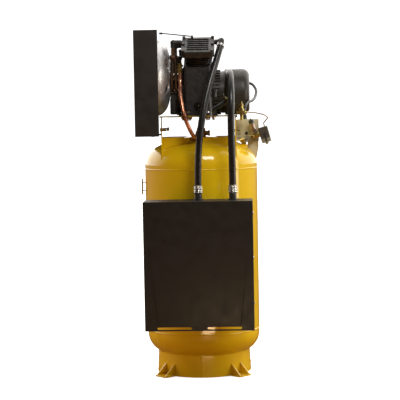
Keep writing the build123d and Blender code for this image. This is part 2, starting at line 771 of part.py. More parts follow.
# ---------------------------------------------------------------- motor
frame_low_x, frame_high_x = -150.0, 112.0
shaft_r = 14.0
with BuildPart() as motor_frame:
    disc(motor_plane(frame_low_x), 116, frame_high_x - frame_low_x)
    with BuildSketch(motor_plane(frame_low_x + 6)):
        with PolarLocations(119, 36):
            Rectangle(14, 4)
    extrude(amount=frame_high_x - frame_low_x - 12)
    for x in (-105.0, 65.0):
        block((x - 22, motor_y - 110, deck_top), (x + 22, motor_y + 110, foot_top))
        for side in (-1, 1):
            block((x - 16, motor_y + side * 68 - 10, deck_top), (x + 16, motor_y + side * 68 + 10, motor_z - 90))
    block((-60, motor_y + 90, motor_z - 35), (50, motor_y + 168, motor_z + 55))
    block((-56, motor_y + 128, motor_z - 31), (46, motor_y + 164, motor_z + 51), Mode.SUBTRACT)
    disc(motor_plane(frame_low_x - 1), 106, frame_high_x - frame_low_x + 2, Mode.SUBTRACT)
    with BuildSketch(Plane.XY.offset(deck_top)):
        with Locations(*motor_bolts):
            Circle(6.2)
    extrude(amount=14, mode=Mode.SUBTRACT)
finish(motor_frame, "motor_frame")

with BuildPart() as motor_stator:
    disc(motor_plane(-95), 106, 150)
    disc(motor_plane(-96), 61, 152, Mode.SUBTRACT)
    for x in (-118.0, 55.0):
        disc(motor_plane(x), 96, 23)
        disc(motor_plane(x - 1), 70, 25, Mode.SUBTRACT)
finish(motor_stator, "motor_stator")

with BuildPart() as motor_end_bells:
    for low in (frame_low_x - 16, frame_high_x):
        disc(motor_plane(low), 118, 16)
        disc(motor_plane(low - 8), 44, 32)
    disc(motor_plane(frame_low_x - 8), 104, 9, Mode.SUBTRACT)
    disc(motor_plane(frame_high_x - 1), 104, 9, Mode.SUBTRACT)
    disc(motor_plane(frame_low_x - 8), 44, 8)
    disc(motor_plane(frame_high_x), 44, 8)
    disc(motor_plane(frame_low_x - 14), 26, 22, Mode.SUBTRACT)
    disc(motor_plane(frame_high_x - 8), 26, 22, Mode.SUBTRACT)
    disc(motor_plane(frame_low_x - 30), shaft_r + 1, 400, Mode.SUBTRACT)
finish(motor_end_bells, "motor_end_bells")

with BuildPart() as motor_bearings:
    for x in (frame_low_x - 14, frame_high_x - 1):
        disc(motor_plane(x), 26, 15)
        disc(motor_plane(x - 1), shaft_r + running_gap, 17, Mode.SUBTRACT)
finish_group("shaft_bearings", crank_bearings, motor_bearings)

with BuildPart() as motor_rotor:
    disc(motor_plane(-306), shaft_r, 490)
    disc(motor_plane(-92), 60, 144)
    disc(motor_plane(-104), 52, 168)
finish(motor_rotor, "motor_rotor")

with BuildPart() as motor_fan:
    disc(motor_plane(160), 26, 20)
    disc(motor_plane(160), 104, 3)
    with BuildSketch(motor_plane(163)):
        with PolarLocations(62, 8):
            Rectangle(80, 4)
    extrude(amount=26)
    disc(motor_plane(159), shaft_r, 32, Mode.SUBTRACT)
finish(motor_fan, "motor_fan")

cover_low_x, cover_high_x = 130.0, 268.0
cover_r, cover_round = 128.0, 38.0


def cover_section(inset):
    """Half section of the fan cover's outside, moved in by the wall."""
    radius, high, bend = cover_r - inset, cover_high_x - inset, cover_round - inset
    low = cover_low_x - inset
    with BuildSketch(axial_plane(motor_y, motor_z)) as section:
        with BuildLine():
            Polyline((high - bend, radius), (low, radius), (low, 0), (high, 0), (high, radius - bend))
            RadiusArc((high, radius - bend), (high - bend, radius), -bend)
        make_face()
    return section.sketch


motor_axis = Axis((0, motor_y, motor_z), (1, 0, 0))
with BuildPart() as motor_fan_cover:
    revolve(cover_section(0), axis=motor_axis)
    revolve(cover_section(2.5), axis=motor_axis, mode=Mode.SUBTRACT)
    with BuildSketch(motor_plane(cover_high_x - 4)):
        with PolarLocations(50, 12):
            SlotOverall(60, 9)
    extrude(amount=6, mode=Mode.SUBTRACT)
    with BuildSketch(motor_plane(cover_low_x)):
        with PolarLocations(121.8, 3, start_angle=60):
            Rectangle(8, 14)
    extrude(amount=8)
finish(motor_fan_cover, "motor_fan_cover")

# ---------------------------------------------------------------- belt guard
def guard_form(inset, right_extra, low, high, mode=Mode.ADD):
    """Tapered slab between the guard's side walls; right_extra carries it out past the open side."""
    with BuildSketch(Plane.XY.offset(low)) as section:
        Polygon(
            (guard_low_x + inset, guard_front + inset),
            (guard_near_x + right_extra, guard_front + inset),
            (guard_far_x + right_extra, guard_back - inset),
            (guard_low_x + inset, guard_back - inset),
            align=None,
        )
    extrude(section.sketch, amount=high - low, mode=mode)


with BuildPart() as belt_guard:
    guard_form(0, 0, guard_low, guard_high)
    guard_form(guard_wall, 20, guard_low + guard_wall, guard_high - guard_wall, Mode.SUBTRACT)
    with BuildSketch(Plane.YZ.offset(guard_low_x)):
        for centre_y, centre_z, columns, rows in ((crank_y, crank_z, 2, 11), (motor_y - 30, motor_z, 1, 7)):
            with Locations((centre_y, centre_z)):
                with GridLocations(165, 34, columns, rows):
                    SlotOverall(140, 10)
    extrude(amount=guard_wall, mode=Mode.SUBTRACT)
    with BuildSketch(Plane.XY.offset(guard_low)):
        with Locations(*[(-250, y) for y, z in bracket_bolts]):
            Circle(5.2)
    extrude(amount=guard_wall, mode=Mode.SUBTRACT)
finish(belt_guard, "belt_guard")

strap_low = guard_low + guard_wall
with BuildPart() as guard_brackets:
    for y, z in bracket_bolts:
        block((-300, y - 20, strap_low), (-deck_half, y + 20, strap_low + 5))
        block((-deck_half - 5, y - 20, strap_low), (-deck_half, y + 20, z + 24))
        disc(Plane((-deck_half - 6, y, z), z_dir=(1, 0, 0)), 5.2, 7, Mode.SUBTRACT)
        disc(Plane((-250, y, strap_low - 1)), 5.2, 7, Mode.SUBTRACT)

with BuildPart() as guard_bolts:
    for y, z in bracket_bolts:
        disc(Plane((-deck_half - 5, y, z), z_dir=(1, 0, 0)), 5, leg_thick + 15)
        hexagon(Plane((-deck_half + leg_thick, y, z), z_dir=(1, 0, 0)), 16, 14)
        hexagon(Plane((-deck_half - 5, y, z), z_dir=(-1, 0, 0)), 16, 7)
        disc(Plane((-250, y, guard_low)), 5, guard_wall + 5)
        hexagon(Plane((-250, y, strap_low + 5)), 16, 7)
        hexagon(Plane((-250, y, guard_low - 6)), 16, 6)

# Brace rod from a lug on the front head to the guard's top
lug_shift = -71.6
lug_y, lug_z = bank_point(-1, head_base + head_thick, lug_shift)
lug_high_y, lug_high_z = bank_point(-1, head_base + head_thick + 15, lug_shift)
brace_high = (-186.0, lug_high_y, guard_high - guard_wall - 4)
with BuildPart() as guard_brace:
    pipe([(-27, lug_high_y, lug_high_z - 3), brace_high], None, 3)
    disc(Plane((-27, lug_y, lug_z), z_dir=(0, -sin(bank_lean), cos(bank_lean))), 6, 15)
    block((-200, lug_high_y - 12, guard_high - guard_wall - 9), (-184, lug_high_y + 12, guard_high - guard_wall))
finish_group("guard_supports", guard_brackets, guard_brace)

# ---------------------------------------------------------------- intercooler
lp_port_y, lp_port_z = bank_point(-1, head_base + 11, -lp_port_shift)
hp_port_y, hp_port_z = bank_point(1, head_base + 11, -hp_port_shift)
hp_out_y, hp_out_z = bank_point(1, head_base + 11, hp_port_shift)
cooler_x = -126.5
tube_xs = (cooler_x - 10.5, cooler_x + 10.5)
tube_low = 1520.0
with BuildPart() as intercooler_tubes:
    for x in tube_xs:
        pipe(
            [(x, lp_port_y, 1690), (x, lp_port_y, tube_low), (x, hp_port_y, tube_low), (x, hp_port_y, 1690)],
            [32, 32],
            8,
            6.5,
        )

with BuildPart() as intercooler_headers:
    for y in (lp_port_y, hp_port_y):
        block((cooler_x - 20.5, y - 12, 1690), (cooler_x + 20.5, y + 12, 1710))
        disc(Plane((cooler_x, y, 1710)), 12, 38)
        for fin in range(6):
            disc(Plane((cooler_x, y, 1713 + 5.5 * fin)), 16, 1.6)
finish_group("intercooler", intercooler_tubes, intercooler_headers)

with BuildPart() as intercooler_elbows:
    for port_x, y, z in ((lp_x - lp_half - 4, lp_port_y, lp_port_z), (hp_x - hp_half - 4, hp_port_y, hp_port_z)):
        disc(Plane((cooler_x, y, 1748)), 15, z - 1748)
        disc(Plane((port_x, y, z), z_dir=(-1, 0, 0)), 14, port_x - cooler_x)
        with Locations((cooler_x, y, z)):
            Sphere(16)

with BuildPart() as interstage_relief_valve:
    disc(Plane((cooler_x, lp_port_y - 12, 1700), z_dir=(0, -1, 0)), 6, 10)
    hexagon(Plane((cooler_x, lp_port_y - 22, 1700), z_dir=(0, -1, 0)), 17, 12)
    disc(Plane((cooler_x, lp_port_y - 34, 1700), z_dir=(0, -1, 0)), 6, 12)

# ---------------------------------------------------------------- oil filter and filler
with BuildPart() as oil_filter:
    disc(Plane((-129, -200, 1398)), 20, 82)
    fillet(oil_filter.faces().sort_by(Axis.Z)[0].edges(), 7)
finish(oil_filter, "oil_filter")

# ---------------------------------------------------------------- discharge line
fit_x, fit_y, fit_z = -92.0, -222.0, 1640.0
with BuildPart() as discharge_fitting:
    disc(Plane((fit_x, fit_y, fit_z - 26)), 12, 52)
    hexagon(Plane((fit_x, fit_y, fit_z - 14)), 30, 12)
    hexagon(Plane((fit_x, fit_y, fit_z + 8)), 30, 10)

out_x = -98.0
with BuildPart() as discharge_elbow:
    pipe(
        [(fit_x, fit_y, fit_z + 26), (fit_x, fit_y, 1698), (out_x, hp_out_y, 1698), (out_x, hp_out_y, hp_out_z)],
        [15, 15],
        9,
    )
    with Locations((out_x, hp_out_y, hp_out_z)):
        Sphere(11)
    disc(Plane((out_x, hp_out_y, hp_out_z), z_dir=(1, 0, 0)), 11, hp_x - hp_half - 4 - out_x)

check_top = dome_z(check_x, check_y)
discharge_route = [
    (fit_x, fit_y, fit_z - 26),
    (fit_x, fit_y, fit_z - 70),
    (-91.0, -268.0, 1500.0),
    (-72.0, -306.0, 1392.0),
    (-44.0, -286.0, 1318.0),
    (-22.0, -224.0, 1272.0),
    (-12.0, -170.0, 1286.0),
    (-6.0, -142.0, 1296.0),
]
with BuildPart() as discharge_tube:
    pipe(discharge_route, soft_radii(discharge_route), 10.5, 8.5)
finish(discharge_tube, "discharge_tube")

with BuildPart() as check_valve:
    disc(Plane((check_x, check_y, check_top + 6 - 14)), 12, 16)
    disc(Plane((check_x, check_y, check_top + 6)), 26, 34)
    hexagon(Plane((check_x, check_y, check_top + 40)), 40, 14)
    disc(Plane((check_x - 4, check_y, 1296), z_dir=(1, 0, 0)), 12, 42)
    hexagon(Plane((check_x + 38, check_y, 1296), z_dir=(1, 0, 0)), 26, 10)
    tube_way = Vector(discharge_route[-1]) - Vector(discharge_route[-2])
    disc(Plane(origin=discharge_route[-1], z_dir=tube_way), 15, 20)
finish_group("brass_fittings", discharge_fitting, check_valve)

# ---------------------------------------------------------------- hoses and pump inlet
hose_route = [
    (0.0, -400.0, hose_start),
    (0.0, -400.0, 1180.0),
    (24.0, -392.0, 1370.0),
    (60.0, -345.0, 1540.0),
    (100.0, -290.0, 1668.0),
    (122.0, -252.0, 1748.0),
]
breather_route = [
    (178.0, -400.0, hose_start),
    (178.0, -400.0, 1165.0),
    (174.0, -402.0, 1330.0),
    (178.0, -400.0, 1491.0),
    (172.0, -289.0, 1616.0),
    (160.0, -131.0, 1610.0),
    (150.0, -34.0, 1505.0),
]
cable_route = [
    (50.0, 444.0, 1536.0),
    (125.0, 444.0, 1536.0),
    (205.0, 446.0, 1566.0),
    (277.0, 412.0, 1576.0),
    (310.0, 352.0, 1530.0),
    (300.0, 285.0, 1486.0),
    (284.0, 222.0, 1468.0),
    (258.0, 160.0, 1460.0),
    (243.0, 112.0, 1437.0),
    (240.0, 94.0, 1400.0),
    (240.0, 90.0, 1364.0),
]


def make_cord(route, diameter, name):
    """Hose or cable along its route; prints how tight it bends and compares its volume with its length."""
    radii = soft_radii(route)
    with BuildPart() as cord:
        length = pipe(route, radii, diameter / 2)
    area = pi * diameter**2 / 4
    print(name, "length", round(length), "radii", [round(r) for r in radii])
    print(name, "volume", round(cord.part.volume), "expected", round(area * length))
    finish(cord, name)


make_cord(hose_route, hose_d, "intake_hose")
make_cord(breather_route, breather_d, "breather_hose")
make_cord(cable_route, cable_d, "motor_cable")

inlet_start = lp_x + lp_half + 4
hose_way = Vector(hose_route[-1]) - Vector(hose_route[-2])
collar_high = Vector(hose_route[-1]) + hose_way.normalized() * 20
with BuildPart() as inlet_elbow:
    disc(Plane(origin=hose_route[-1], z_dir=hose_way), 19, 20)
    pipe(
        [
            collar_high,
            collar_high + hose_way.normalized() * 22,
            (inlet_start + 16, lp_port_y, lp_port_z),
            (inlet_start, lp_port_y, lp_port_z),
        ],
        [12, 8],
        14,
    )

breather_end = Vector(breather_route[-1])
breather_way = (breather_end - Vector(breather_route[-2])).normalized()
pipe_route = [
    breather_end,
    breather_end + breather_way * 58,
    (60.0, 14.0, 1416.0),
    (22.0, 8.0, 1416.0),
    (22.0, crank_y + 86, 1416.0),
]
with BuildPart() as breather_pipe:
    pipe(pipe_route, [34, 22, 20], 12)
    disc(Plane(origin=breather_end, z_dir=breather_way), 19, 16)
finish_group("pump_pipes", intercooler_elbows, discharge_elbow, inlet_elbow, breather_pipe)

with BuildPart() as oil_filler_cap:
    disc(Plane((case_high_x + 18, -215, 1512.3)), 15, 12)
    with BuildSketch(Plane((case_high_x + 18, -215, 1512.3))):
        with PolarLocations(15, 12):
            Circle(1.5)
    extrude(amount=12, mode=Mode.SUBTRACT)
finish(oil_filler_cap, "oil_filler_cap")

# ---------------------------------------------------------------- manifold, leaning out from the shoulder
lean = radians(16)
manifold_low = shoulder_z + shoulder_bung_high


def tilted(x=0.0, y=0.0, z=0.0):
    """Plane in the manifold's leaning frame, with its normal along the manifold's own upright."""
    along = Vector(cos(lean), 0, sin(lean))
    upright = Vector(-sin(lean), 0, cos(lean))
    origin = Vector(manifold_x, manifold_y, manifold_low + 26) + along * x + Vector(0, y, 0) + upright * z
    return Plane(origin=origin, x_dir=along, z_dir=upright)


def tilted_across(x, y, z):
    """The same frame turned so that the normal runs along the manifold's bar."""
    base = tilted(x, y, z)
    return Plane(origin=base.origin, x_dir=(0, 1, 0), z_dir=base.x_dir)


with BuildPart() as manifold:
    disc(Plane((manifold_x, manifold_y, manifold_low - 20)), 8, 30)
    hexagon(Plane((manifold_x, manifold_y, manifold_low)), 24, 12)
    disc(tilted_across(-20, 0, 0), 12, 112)
    disc(Plane((manifold_x, manifold_y, manifold_low + 8)), 10, 14)
    hexagon(tilted(66, 0, 0), 24, 18)
    hexagon(tilted_across(-24, 0, 0), 20, 8)
    disc(Plane(origin=tilted(20, 0, 0).origin, z_dir=(0, -1, 0)), 8, 24)
    hexagon(Plane(origin=tilted(44, 0, 0).origin, z_dir=(0, -1, 0)), 18, 20)
finish(manifold, "manifold")

switch_x, switch_half_x, switch_half_y = 115.0, 26.0, 40.0
switch_split = -26.0
with BuildPart() as switch_base:
    with BuildSketch(tilted(switch_x, 0, switch_split - 24)):
        RectangleRounded(2 * switch_half_x, 2 * switch_half_y, 6)
    extrude(amount=24)
    with BuildSketch(tilted(switch_x, 0, switch_split)):
        Rectangle(40, 66)
    extrude(amount=3)
    for y in (-18, 18):
        disc(tilted(switch_x, y, switch_split + 3), 6, 40)
    disc(tilted(switch_x, 0, switch_split - 34), 9, 10)
finish(switch_base, "switch_base")

with BuildPart() as switch_cover:
    with BuildSketch(tilted(switch_x, 0, switch_split)):
        RectangleRounded(2 * switch_half_x, 2 * switch_half_y, 6)
    extrude(amount=62)
    cover_top = tilted(switch_x, 0, switch_split + 62)
    fillet(switch_cover.faces().sort_by(Axis(cover_top.origin, cover_top.z_dir))[-1].edges(), 4)
    with BuildSketch(tilted(switch_x, 0, switch_split - 1)):
        RectangleRounded(2 * switch_half_x - 5, 2 * switch_half_y - 5, 4)
    extrude(amount=60.5, mode=Mode.SUBTRACT)
    disc(tilted_across(60, 0, 0), 13, 32, Mode.SUBTRACT)
    disc(tilted(switch_x + 12, -6, switch_split + 52), 5.2, 20, Mode.SUBTRACT)
finish(switch_cover, "switch_cover")

lever_pivot = tilted(switch_x, -switch_half_y - 0.5, switch_split + 22).origin
with BuildPart() as switch_lever:
    disc(Plane(origin=lever_pivot, z_dir=(0, -1, 0)), 8, 5)
    lever_plane = Plane(origin=lever_pivot, x_dir=tilted().x_dir, z_dir=(0, -1, 0))
    with BuildSketch(lever_plane):
        with Locations((0, -18)):
            SlotOverall(44, 8, rotation=90)
    extrude(amount=5)
finish(switch_lever, "switch_lever")

with BuildPart() as safety_valve:
    disc(tilted(66, 0, 18), 6, 8)
    hexagon(tilted(66, 0, 24), 24, 12)
    disc(tilted(66, 0, 36), 12, 32)
    disc(tilted(66, 0, 35), 3.1, 34, Mode.SUBTRACT)
finish_group("relief_valves", interstage_relief_valve, safety_valve)

with BuildPart() as safety_valve_cap:
    disc(tilted(66, 0, 40), 3, 34)
    disc(tilted(66, 0, 70), 14, 20)
    disc(tilted(66, 0, 90), 5, 5)
    pull_ring = tilted_across(66, 0, 102)
    with BuildSketch(pull_ring):
        Circle(10)
        Circle(7.8, mode=Mode.SUBTRACT)
    extrude(amount=1.1, both=True)
finish(safety_valve_cap, "safety_valve_cap")

gauge_centre = tilted(20, 0, 0).origin
gauge_r = 16.0


def gauge_plane(depth):
    """Plane across the gauge at a distance in front of the manifold's bar."""
    return Plane(origin=gauge_centre - Vector(0, depth, 0), x_dir=(1, 0, 0), z_dir=(0, -1, 0))


with BuildPart() as gauge_case:
    disc(gauge_plane(24), gauge_r, 16)
    disc(gauge_plane(29), gauge_r - 2, 12, Mode.SUBTRACT)
    disc(gauge_plane(28), 3, 3)
finish(gauge_case, "gauge_case")

with BuildPart() as gauge_needle:
    disc(gauge_plane(31.3), 3, 2)
    with BuildSketch(gauge_plane(31.8)):
        with Locations((-4, -4)):
            Rectangle(14, 1.2, rotation=45)
    extrude(amount=0.8)
finish(gauge_needle, "gauge_needle")

with BuildPart() as gauge_glass:
    disc(gauge_plane(37), gauge_r - 2.1, 2)
finish(gauge_glass, "gauge_glass")

# ---------------------------------------------------------------- pilot valve and unloader tube
pilot_x, pilot_y = 226.0, -120.0
with BuildPart() as pilot_valve:
    block((deck_half, pilot_y - 14, 1392), (pilot_x + 18, pilot_y + 14, 1412))
    block((deck_half, pilot_y - 14, 1376), (deck_half + 5, pilot_y + 14, 1392))
    hexagon(Plane((pilot_x, pilot_y, 1412)), 26, 12)
    disc(Plane((pilot_x, pilot_y, 1424)), 10, 16)
    hexagon(Plane((pilot_x, pilot_y, 1440)), 18, 8)
    disc(Plane((pilot_x, pilot_y, 1448)), 5, 12)
    disc(Plane((pilot_x + 18, pilot_y, 1402), z_dir=(1, 0, 0)), 7, 12)
    disc(Plane((pilot_x, pilot_y, 1362)), 9, 30)
finish(pilot_valve, "pilot_valve")

tube_start = (pilot_x + 30, pilot_y, 1402.0)
tube_end = tilted(switch_x + 12, -6, switch_split + 59).origin
tube_route = [
    tube_start,
    (pilot_x + 66, pilot_y + 5, 1402.0),
    (344.0, -98.0, 1390.0),
    (369.0, -82.0, 1374.0),
    tube_end + Vector(-sin(lean), 0, cos(lean)) * 22,
    tube_end,
]
with BuildPart() as unloader_tube:
    pipe(tube_route, [20, 18, 12, 8], 3.2)
finish(unloader_tube, "unloader_tube")

# ---------------------------------------------------------------- starter box on the deck's right leg
starter_low = (deck_half, -10.0, 1249.0)
starter_high = (315.0, 110.0, 1364.0)
with BuildPart() as starter_box:
    block(starter_low, starter_high)
    block((starter_low[0] + 3, starter_low[1] - 1, 1252), (starter_high[0] - 2, starter_high[1] - 2, 1361), Mode.SUBTRACT)
    with BuildSketch(Plane.YZ.offset(deck_half - 1)):
        with Locations(*starter_bolts):
            Circle(4.2)
    extrude(amount=6, mode=Mode.SUBTRACT)
    disc(Plane((240, 90, 1360)), 7.6, 6, Mode.SUBTRACT)

with BuildPart() as starter_bolt_set:
    for y, z in starter_bolts:
        disc(Plane((deck_half - leg_thick, y, z), z_dir=(1, 0, 0)), 4, leg_thick + 3)
        hexagon(Plane((deck_half - leg_thick - 6, y, z), z_dir=(1, 0, 0)), 13, 6)
        hexagon(Plane((deck_half + 3, y, z), z_dir=(1, 0, 0)), 13, 6)
finish_group("fasteners", deck_bolts, deck_nuts, guard_bolts, silencer_screws, starter_bolt_set)

with BuildPart() as contactor:
    block((225, 40, 1262), (290, 107, 1340))
    block((232, 30, 1275), (283, 40, 1327))
    for x in (238.0, 257.5, 277.0):
        disc(Plane((x, 48, 1340)), 4, 4)
finish_group("starter_box", starter_box, contactor)

cover_y = starter_low[1]
button_x, button_z = 250.0, 1290.0
with BuildPart() as starter_cover:
    block((starter_low[0], cover_y - 3, 1249.5), (starter_high[0] + 2, cover_y, 1366))
    for z in (1262.0, 1282.0, 1302.0):
        block((starter_low[0] + 6, cover_y - 4, z), (starter_low[0] + 20, cover_y + 1, z + 6), Mode.SUBTRACT)
    disc(Plane((button_x, cover_y - 4, button_z), z_dir=(0, 1, 0)), 8.2, 6, Mode.SUBTRACT)
finish(starter_cover, "starter_cover")

with BuildPart() as reset_button:
    disc(Plane((button_x, cover_y - 10, button_z), z_dir=(0, 1, 0)), 8, 34)
finish(reset_button, "reset_button")

with BuildPart() as shoulder_bracket:
    with BuildSketch(Plane.XZ.offset(30)):
        Polygon((255, 1243), (315, 1243), (315, 1215), (296, 1120), (255, 1120), align=None)
    extrude(amount=-6)
    block((240, -36, 1243), (315, 60, 1249))
    add(tank_form.part, mode=Mode.SUBTRACT)
finish_group("tank_brackets", data_plate_bracket, shoulder_bracket)

# ---------------------------------------------------------------- outlet valve and drain valve
with BuildPart() as outlet_valve:
    disc(Plane((0, tank_r - 8, outlet_z), z_dir=(0, 1, 0)), 12, 40)
    hexagon(Plane((0, tank_r + 22, outlet_z), z_dir=(0, 1, 0)), 36, 16)
    disc(Plane((0, tank_r + 38, outlet_z), z_dir=(0, 1, 0)), 21, 30)
    hexagon(Plane((0, tank_r + 68, outlet_z), z_dir=(0, 1, 0)), 36, 16)
    disc(Plane((0, tank_r + 53, outlet_z + 15)), 9, 18)
    disc(Plane((0, tank_r + 60, outlet_z), z_dir=(0, 1, 0)), 11, 30, Mode.SUBTRACT)
    disc(Plane((0, tank_r + 53, outlet_z + 20)), 4 + running_gap, 20, Mode.SUBTRACT)

handle_z = outlet_z + 33.4
with BuildPart() as outlet_handle:
    disc(Plane((0, tank_r + 53, outlet_z + 21)), 4, 18)
    with BuildSketch(Plane.XY.offset(handle_z)):
        with Locations((0, tank_r + 53)):
            Circle(10)
        with Locations((52, tank_r + 53)):
            RectangleRounded(104, 16, 7)
    extrude(amount=3)
    with BuildSketch(Plane.XY.offset(handle_z - 2)):
        with Locations((74, tank_r + 53)):
            RectangleRounded(66, 20, 8)
    extrude(amount=7)
finish(outlet_handle, "outlet_handle")

with BuildPart() as drain_valve:
    disc(Plane.XY.offset(22), 10, 40)
    hexagon(Plane.XY.offset(24), 26, 10)
    disc(Plane((0, 0, 30), z_dir=(0, 1, 0)), 8, 26)
    disc(Plane((0, 27, 30), z_dir=(0, -1, 0)), 4 + running_gap, 12, Mode.SUBTRACT)
finish_group("tank_valves", outlet_valve, drain_valve)

with BuildPart() as drain_handle:
    disc(Plane((0, 16, 30), z_dir=(0, 1, 0)), 4, 16)
    block((-18, 28, 26), (18, 32, 34))
finish(drain_handle, "drain_handle")
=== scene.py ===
import json
from math import asin, atan2, cos, hypot, pi, radians, sin, sqrt

import bmesh
import bpy
from mathutils import Matrix, Vector


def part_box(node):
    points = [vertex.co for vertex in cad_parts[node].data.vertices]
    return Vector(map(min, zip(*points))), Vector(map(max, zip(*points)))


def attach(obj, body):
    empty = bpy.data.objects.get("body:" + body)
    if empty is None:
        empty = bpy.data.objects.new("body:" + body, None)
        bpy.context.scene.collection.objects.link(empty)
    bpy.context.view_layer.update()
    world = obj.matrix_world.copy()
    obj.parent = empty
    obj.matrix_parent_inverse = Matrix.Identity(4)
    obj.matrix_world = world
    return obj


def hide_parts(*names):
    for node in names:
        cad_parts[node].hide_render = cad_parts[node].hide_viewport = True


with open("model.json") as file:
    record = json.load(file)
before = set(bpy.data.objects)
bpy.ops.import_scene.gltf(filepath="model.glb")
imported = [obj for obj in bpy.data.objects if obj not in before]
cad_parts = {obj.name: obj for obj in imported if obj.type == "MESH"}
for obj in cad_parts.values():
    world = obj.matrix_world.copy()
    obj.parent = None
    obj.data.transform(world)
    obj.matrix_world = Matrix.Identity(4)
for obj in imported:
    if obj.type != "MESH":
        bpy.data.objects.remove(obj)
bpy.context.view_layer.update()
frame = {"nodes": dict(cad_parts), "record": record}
nodes = frame["nodes"]
scene = bpy.context.scene


# ---------------------------------------------------------------- camera
lens = 117.0
sensor = 36.0
camera_distance = 7.085
camera_height = 1.393
camera_turn = radians(2.5)
aim_left = radians(0.075)
look_down = radians(3.74)
camera_roll = radians(-1.05)


def make_camera():
    """Long lens a little to the right of the front, level with the deck and looking slightly down."""
    data = bpy.data.cameras.new("camera")
    data.sensor_width = sensor
    data.lens = lens
    camera = bpy.data.objects.new("camera", data)
    scene.collection.objects.link(camera)
    place = Vector((sin(camera_turn) * camera_distance, -cos(camera_turn) * camera_distance, camera_height))
    camera.matrix_world = (
        Matrix.Translation(place)
        @ Matrix.Rotation(camera_turn + aim_left, 4, "Z")
        @ Matrix.Rotation(pi / 2 - look_down, 4, "X")
        @ Matrix.Rotation(camera_roll, 4, "Z")
    )
    scene.camera = camera


make_camera()


# ---------------------------------------------------------------- material helpers
class Nodes:
    """A material's node tree, with short ways to add and link nodes."""

    def __init__(self, name):
        self.material = bpy.data.materials.new(name)
        self.material.use_nodes = True
        self.tree = self.material.node_tree
        self.shader = self.tree.nodes["Principled BSDF"]
        self.place = self.tree.nodes.new("ShaderNodeTexCoord")

    def link(self, source, target):
        self.tree.links.new(source, target)

    def add(self, kind, **inputs):
        node = self.tree.nodes.new(kind)
        for name, value in inputs.items():
            node.inputs[name.replace("_", " ")].default_value = value
        return node

    def stretched(self, stretch):
        """Object coordinates, scaled differently along each axis."""
        mapping = self.add("ShaderNodeMapping", Scale=stretch)
        self.link(self.place.outputs["Object"], mapping.inputs["Vector"])
        return mapping.outputs["Vector"]

    def noise(self, scale, detail=4.0, stretch=(1, 1, 1), distortion=0.0):
        node = self.add("ShaderNodeTexNoise", Scale=scale, Detail=detail, Distortion=distortion)
        self.link(self.stretched(stretch), node.inputs["Vector"])
        return node.outputs["Fac"]

    def wave(self, direction, scale, distortion=0.0):
        node = self.add("ShaderNodeTexWave", Scale=scale, Distortion=distortion, Detail=2.0)
        node.bands_direction = direction
        self.link(self.place.outputs["Object"], node.inputs["Vector"])
        return node.outputs["Fac"]

    def ranged(self, source, low, high, from_low=0.35, from_high=0.65):
        node = self.tree.nodes.new("ShaderNodeMapRange")
        for index, value in ((1, from_low), (2, from_high), (3, low), (4, high)):
            node.inputs[index].default_value = value
        self.link(source, node.inputs[0])
        return node.outputs[0]

    def mixed(self, factor, first, second):
        """Colour between two, each a plain colour or another node's output."""
        node = self.tree.nodes.new("ShaderNodeMix")
        node.data_type = "RGBA"
        self.link(factor, node.inputs["Factor"])
        for socket, value in ((node.inputs[6], first), (node.inputs[7], second)):
            if isinstance(value, tuple):
                socket.default_value = (*value, 1.0)
            else:
                self.link(value, socket)
        return node.outputs[2]

    def product(self, first, second):
        node = self.tree.nodes.new("ShaderNodeMath")
        node.operation = "MULTIPLY"
        self.link(first, node.inputs[0])
        self.link(second, node.inputs[1])
        return node.outputs[0]

    def bump(self, source, strength, depth, under=None):
        node = self.add("ShaderNodeBump", Strength=strength, Distance=depth)
        self.link(source, node.inputs["Height"])
        if under:
            self.link(under, node.inputs["Normal"])
        return node.outputs["Normal"]


def finish_surface(tree, colour, roughness, normal, metallic=0.0, coat=0.0, coat_roughness=0.1):
    tree.link(colour, tree.shader.inputs["Base Color"])
    tree.link(roughness, tree.shader.inputs["Roughness"])
    tree.link(normal, tree.shader.inputs["Normal"])
    tree.shader.inputs["Metallic"].default_value = metallic
    tree.shader.inputs["Coat Weight"].default_value = coat
    tree.shader.inputs["Coat Roughness"].default_value = coat_roughness
    return tree.material


def dusty(tree, colour, dust, most):
    """Pale dust that has settled in patches where the surface faces up."""
    facing = tree.tree.nodes.new("ShaderNodeNewGeometry")
    split = tree.tree.nodes.new("ShaderNodeSeparateXYZ")
    tree.link(facing.outputs["Normal"], split.inputs[0])
    upward = tree.ranged(split.outputs["Z"], 0.0, most, 0.3, 1.0)
    patches = tree.ranged(tree.noise(30.0, 8.0), 0.2, 1.0)
    return tree.mixed(tree.product(upward, patches), colour, dust)


# ---------------------------------------------------------------- materials
def gloss_paint(name, colour, shade, dust_most=0.06):
    """Sprayed enamel: orange peel, faint shade changes and settled dust under a clear gloss."""
    tree = Nodes(name)
    body = tree.mixed(tree.ranged(tree.noise(4.0, 5.0), 0.0, 1.0), colour, shade)
    speckled = tree.mixed(tree.ranged(tree.noise(220.0, 3.0), 0.0, 0.25, 0.6, 0.8), body, shade)
    peel = tree.bump(tree.noise(160.0, 2.0), 0.06, 0.0008)
    tree.shader.inputs["Specular IOR Level"].default_value = 0.15
    return finish_surface(
        tree,
        dusty(tree, speckled, (0.62, 0.46, 0.16), dust_most),
        tree.ranged(tree.noise(12.0, 6.0), 0.28, 0.40),
        peel,
        coat=1.0,
        coat_roughness=0.07,
    )


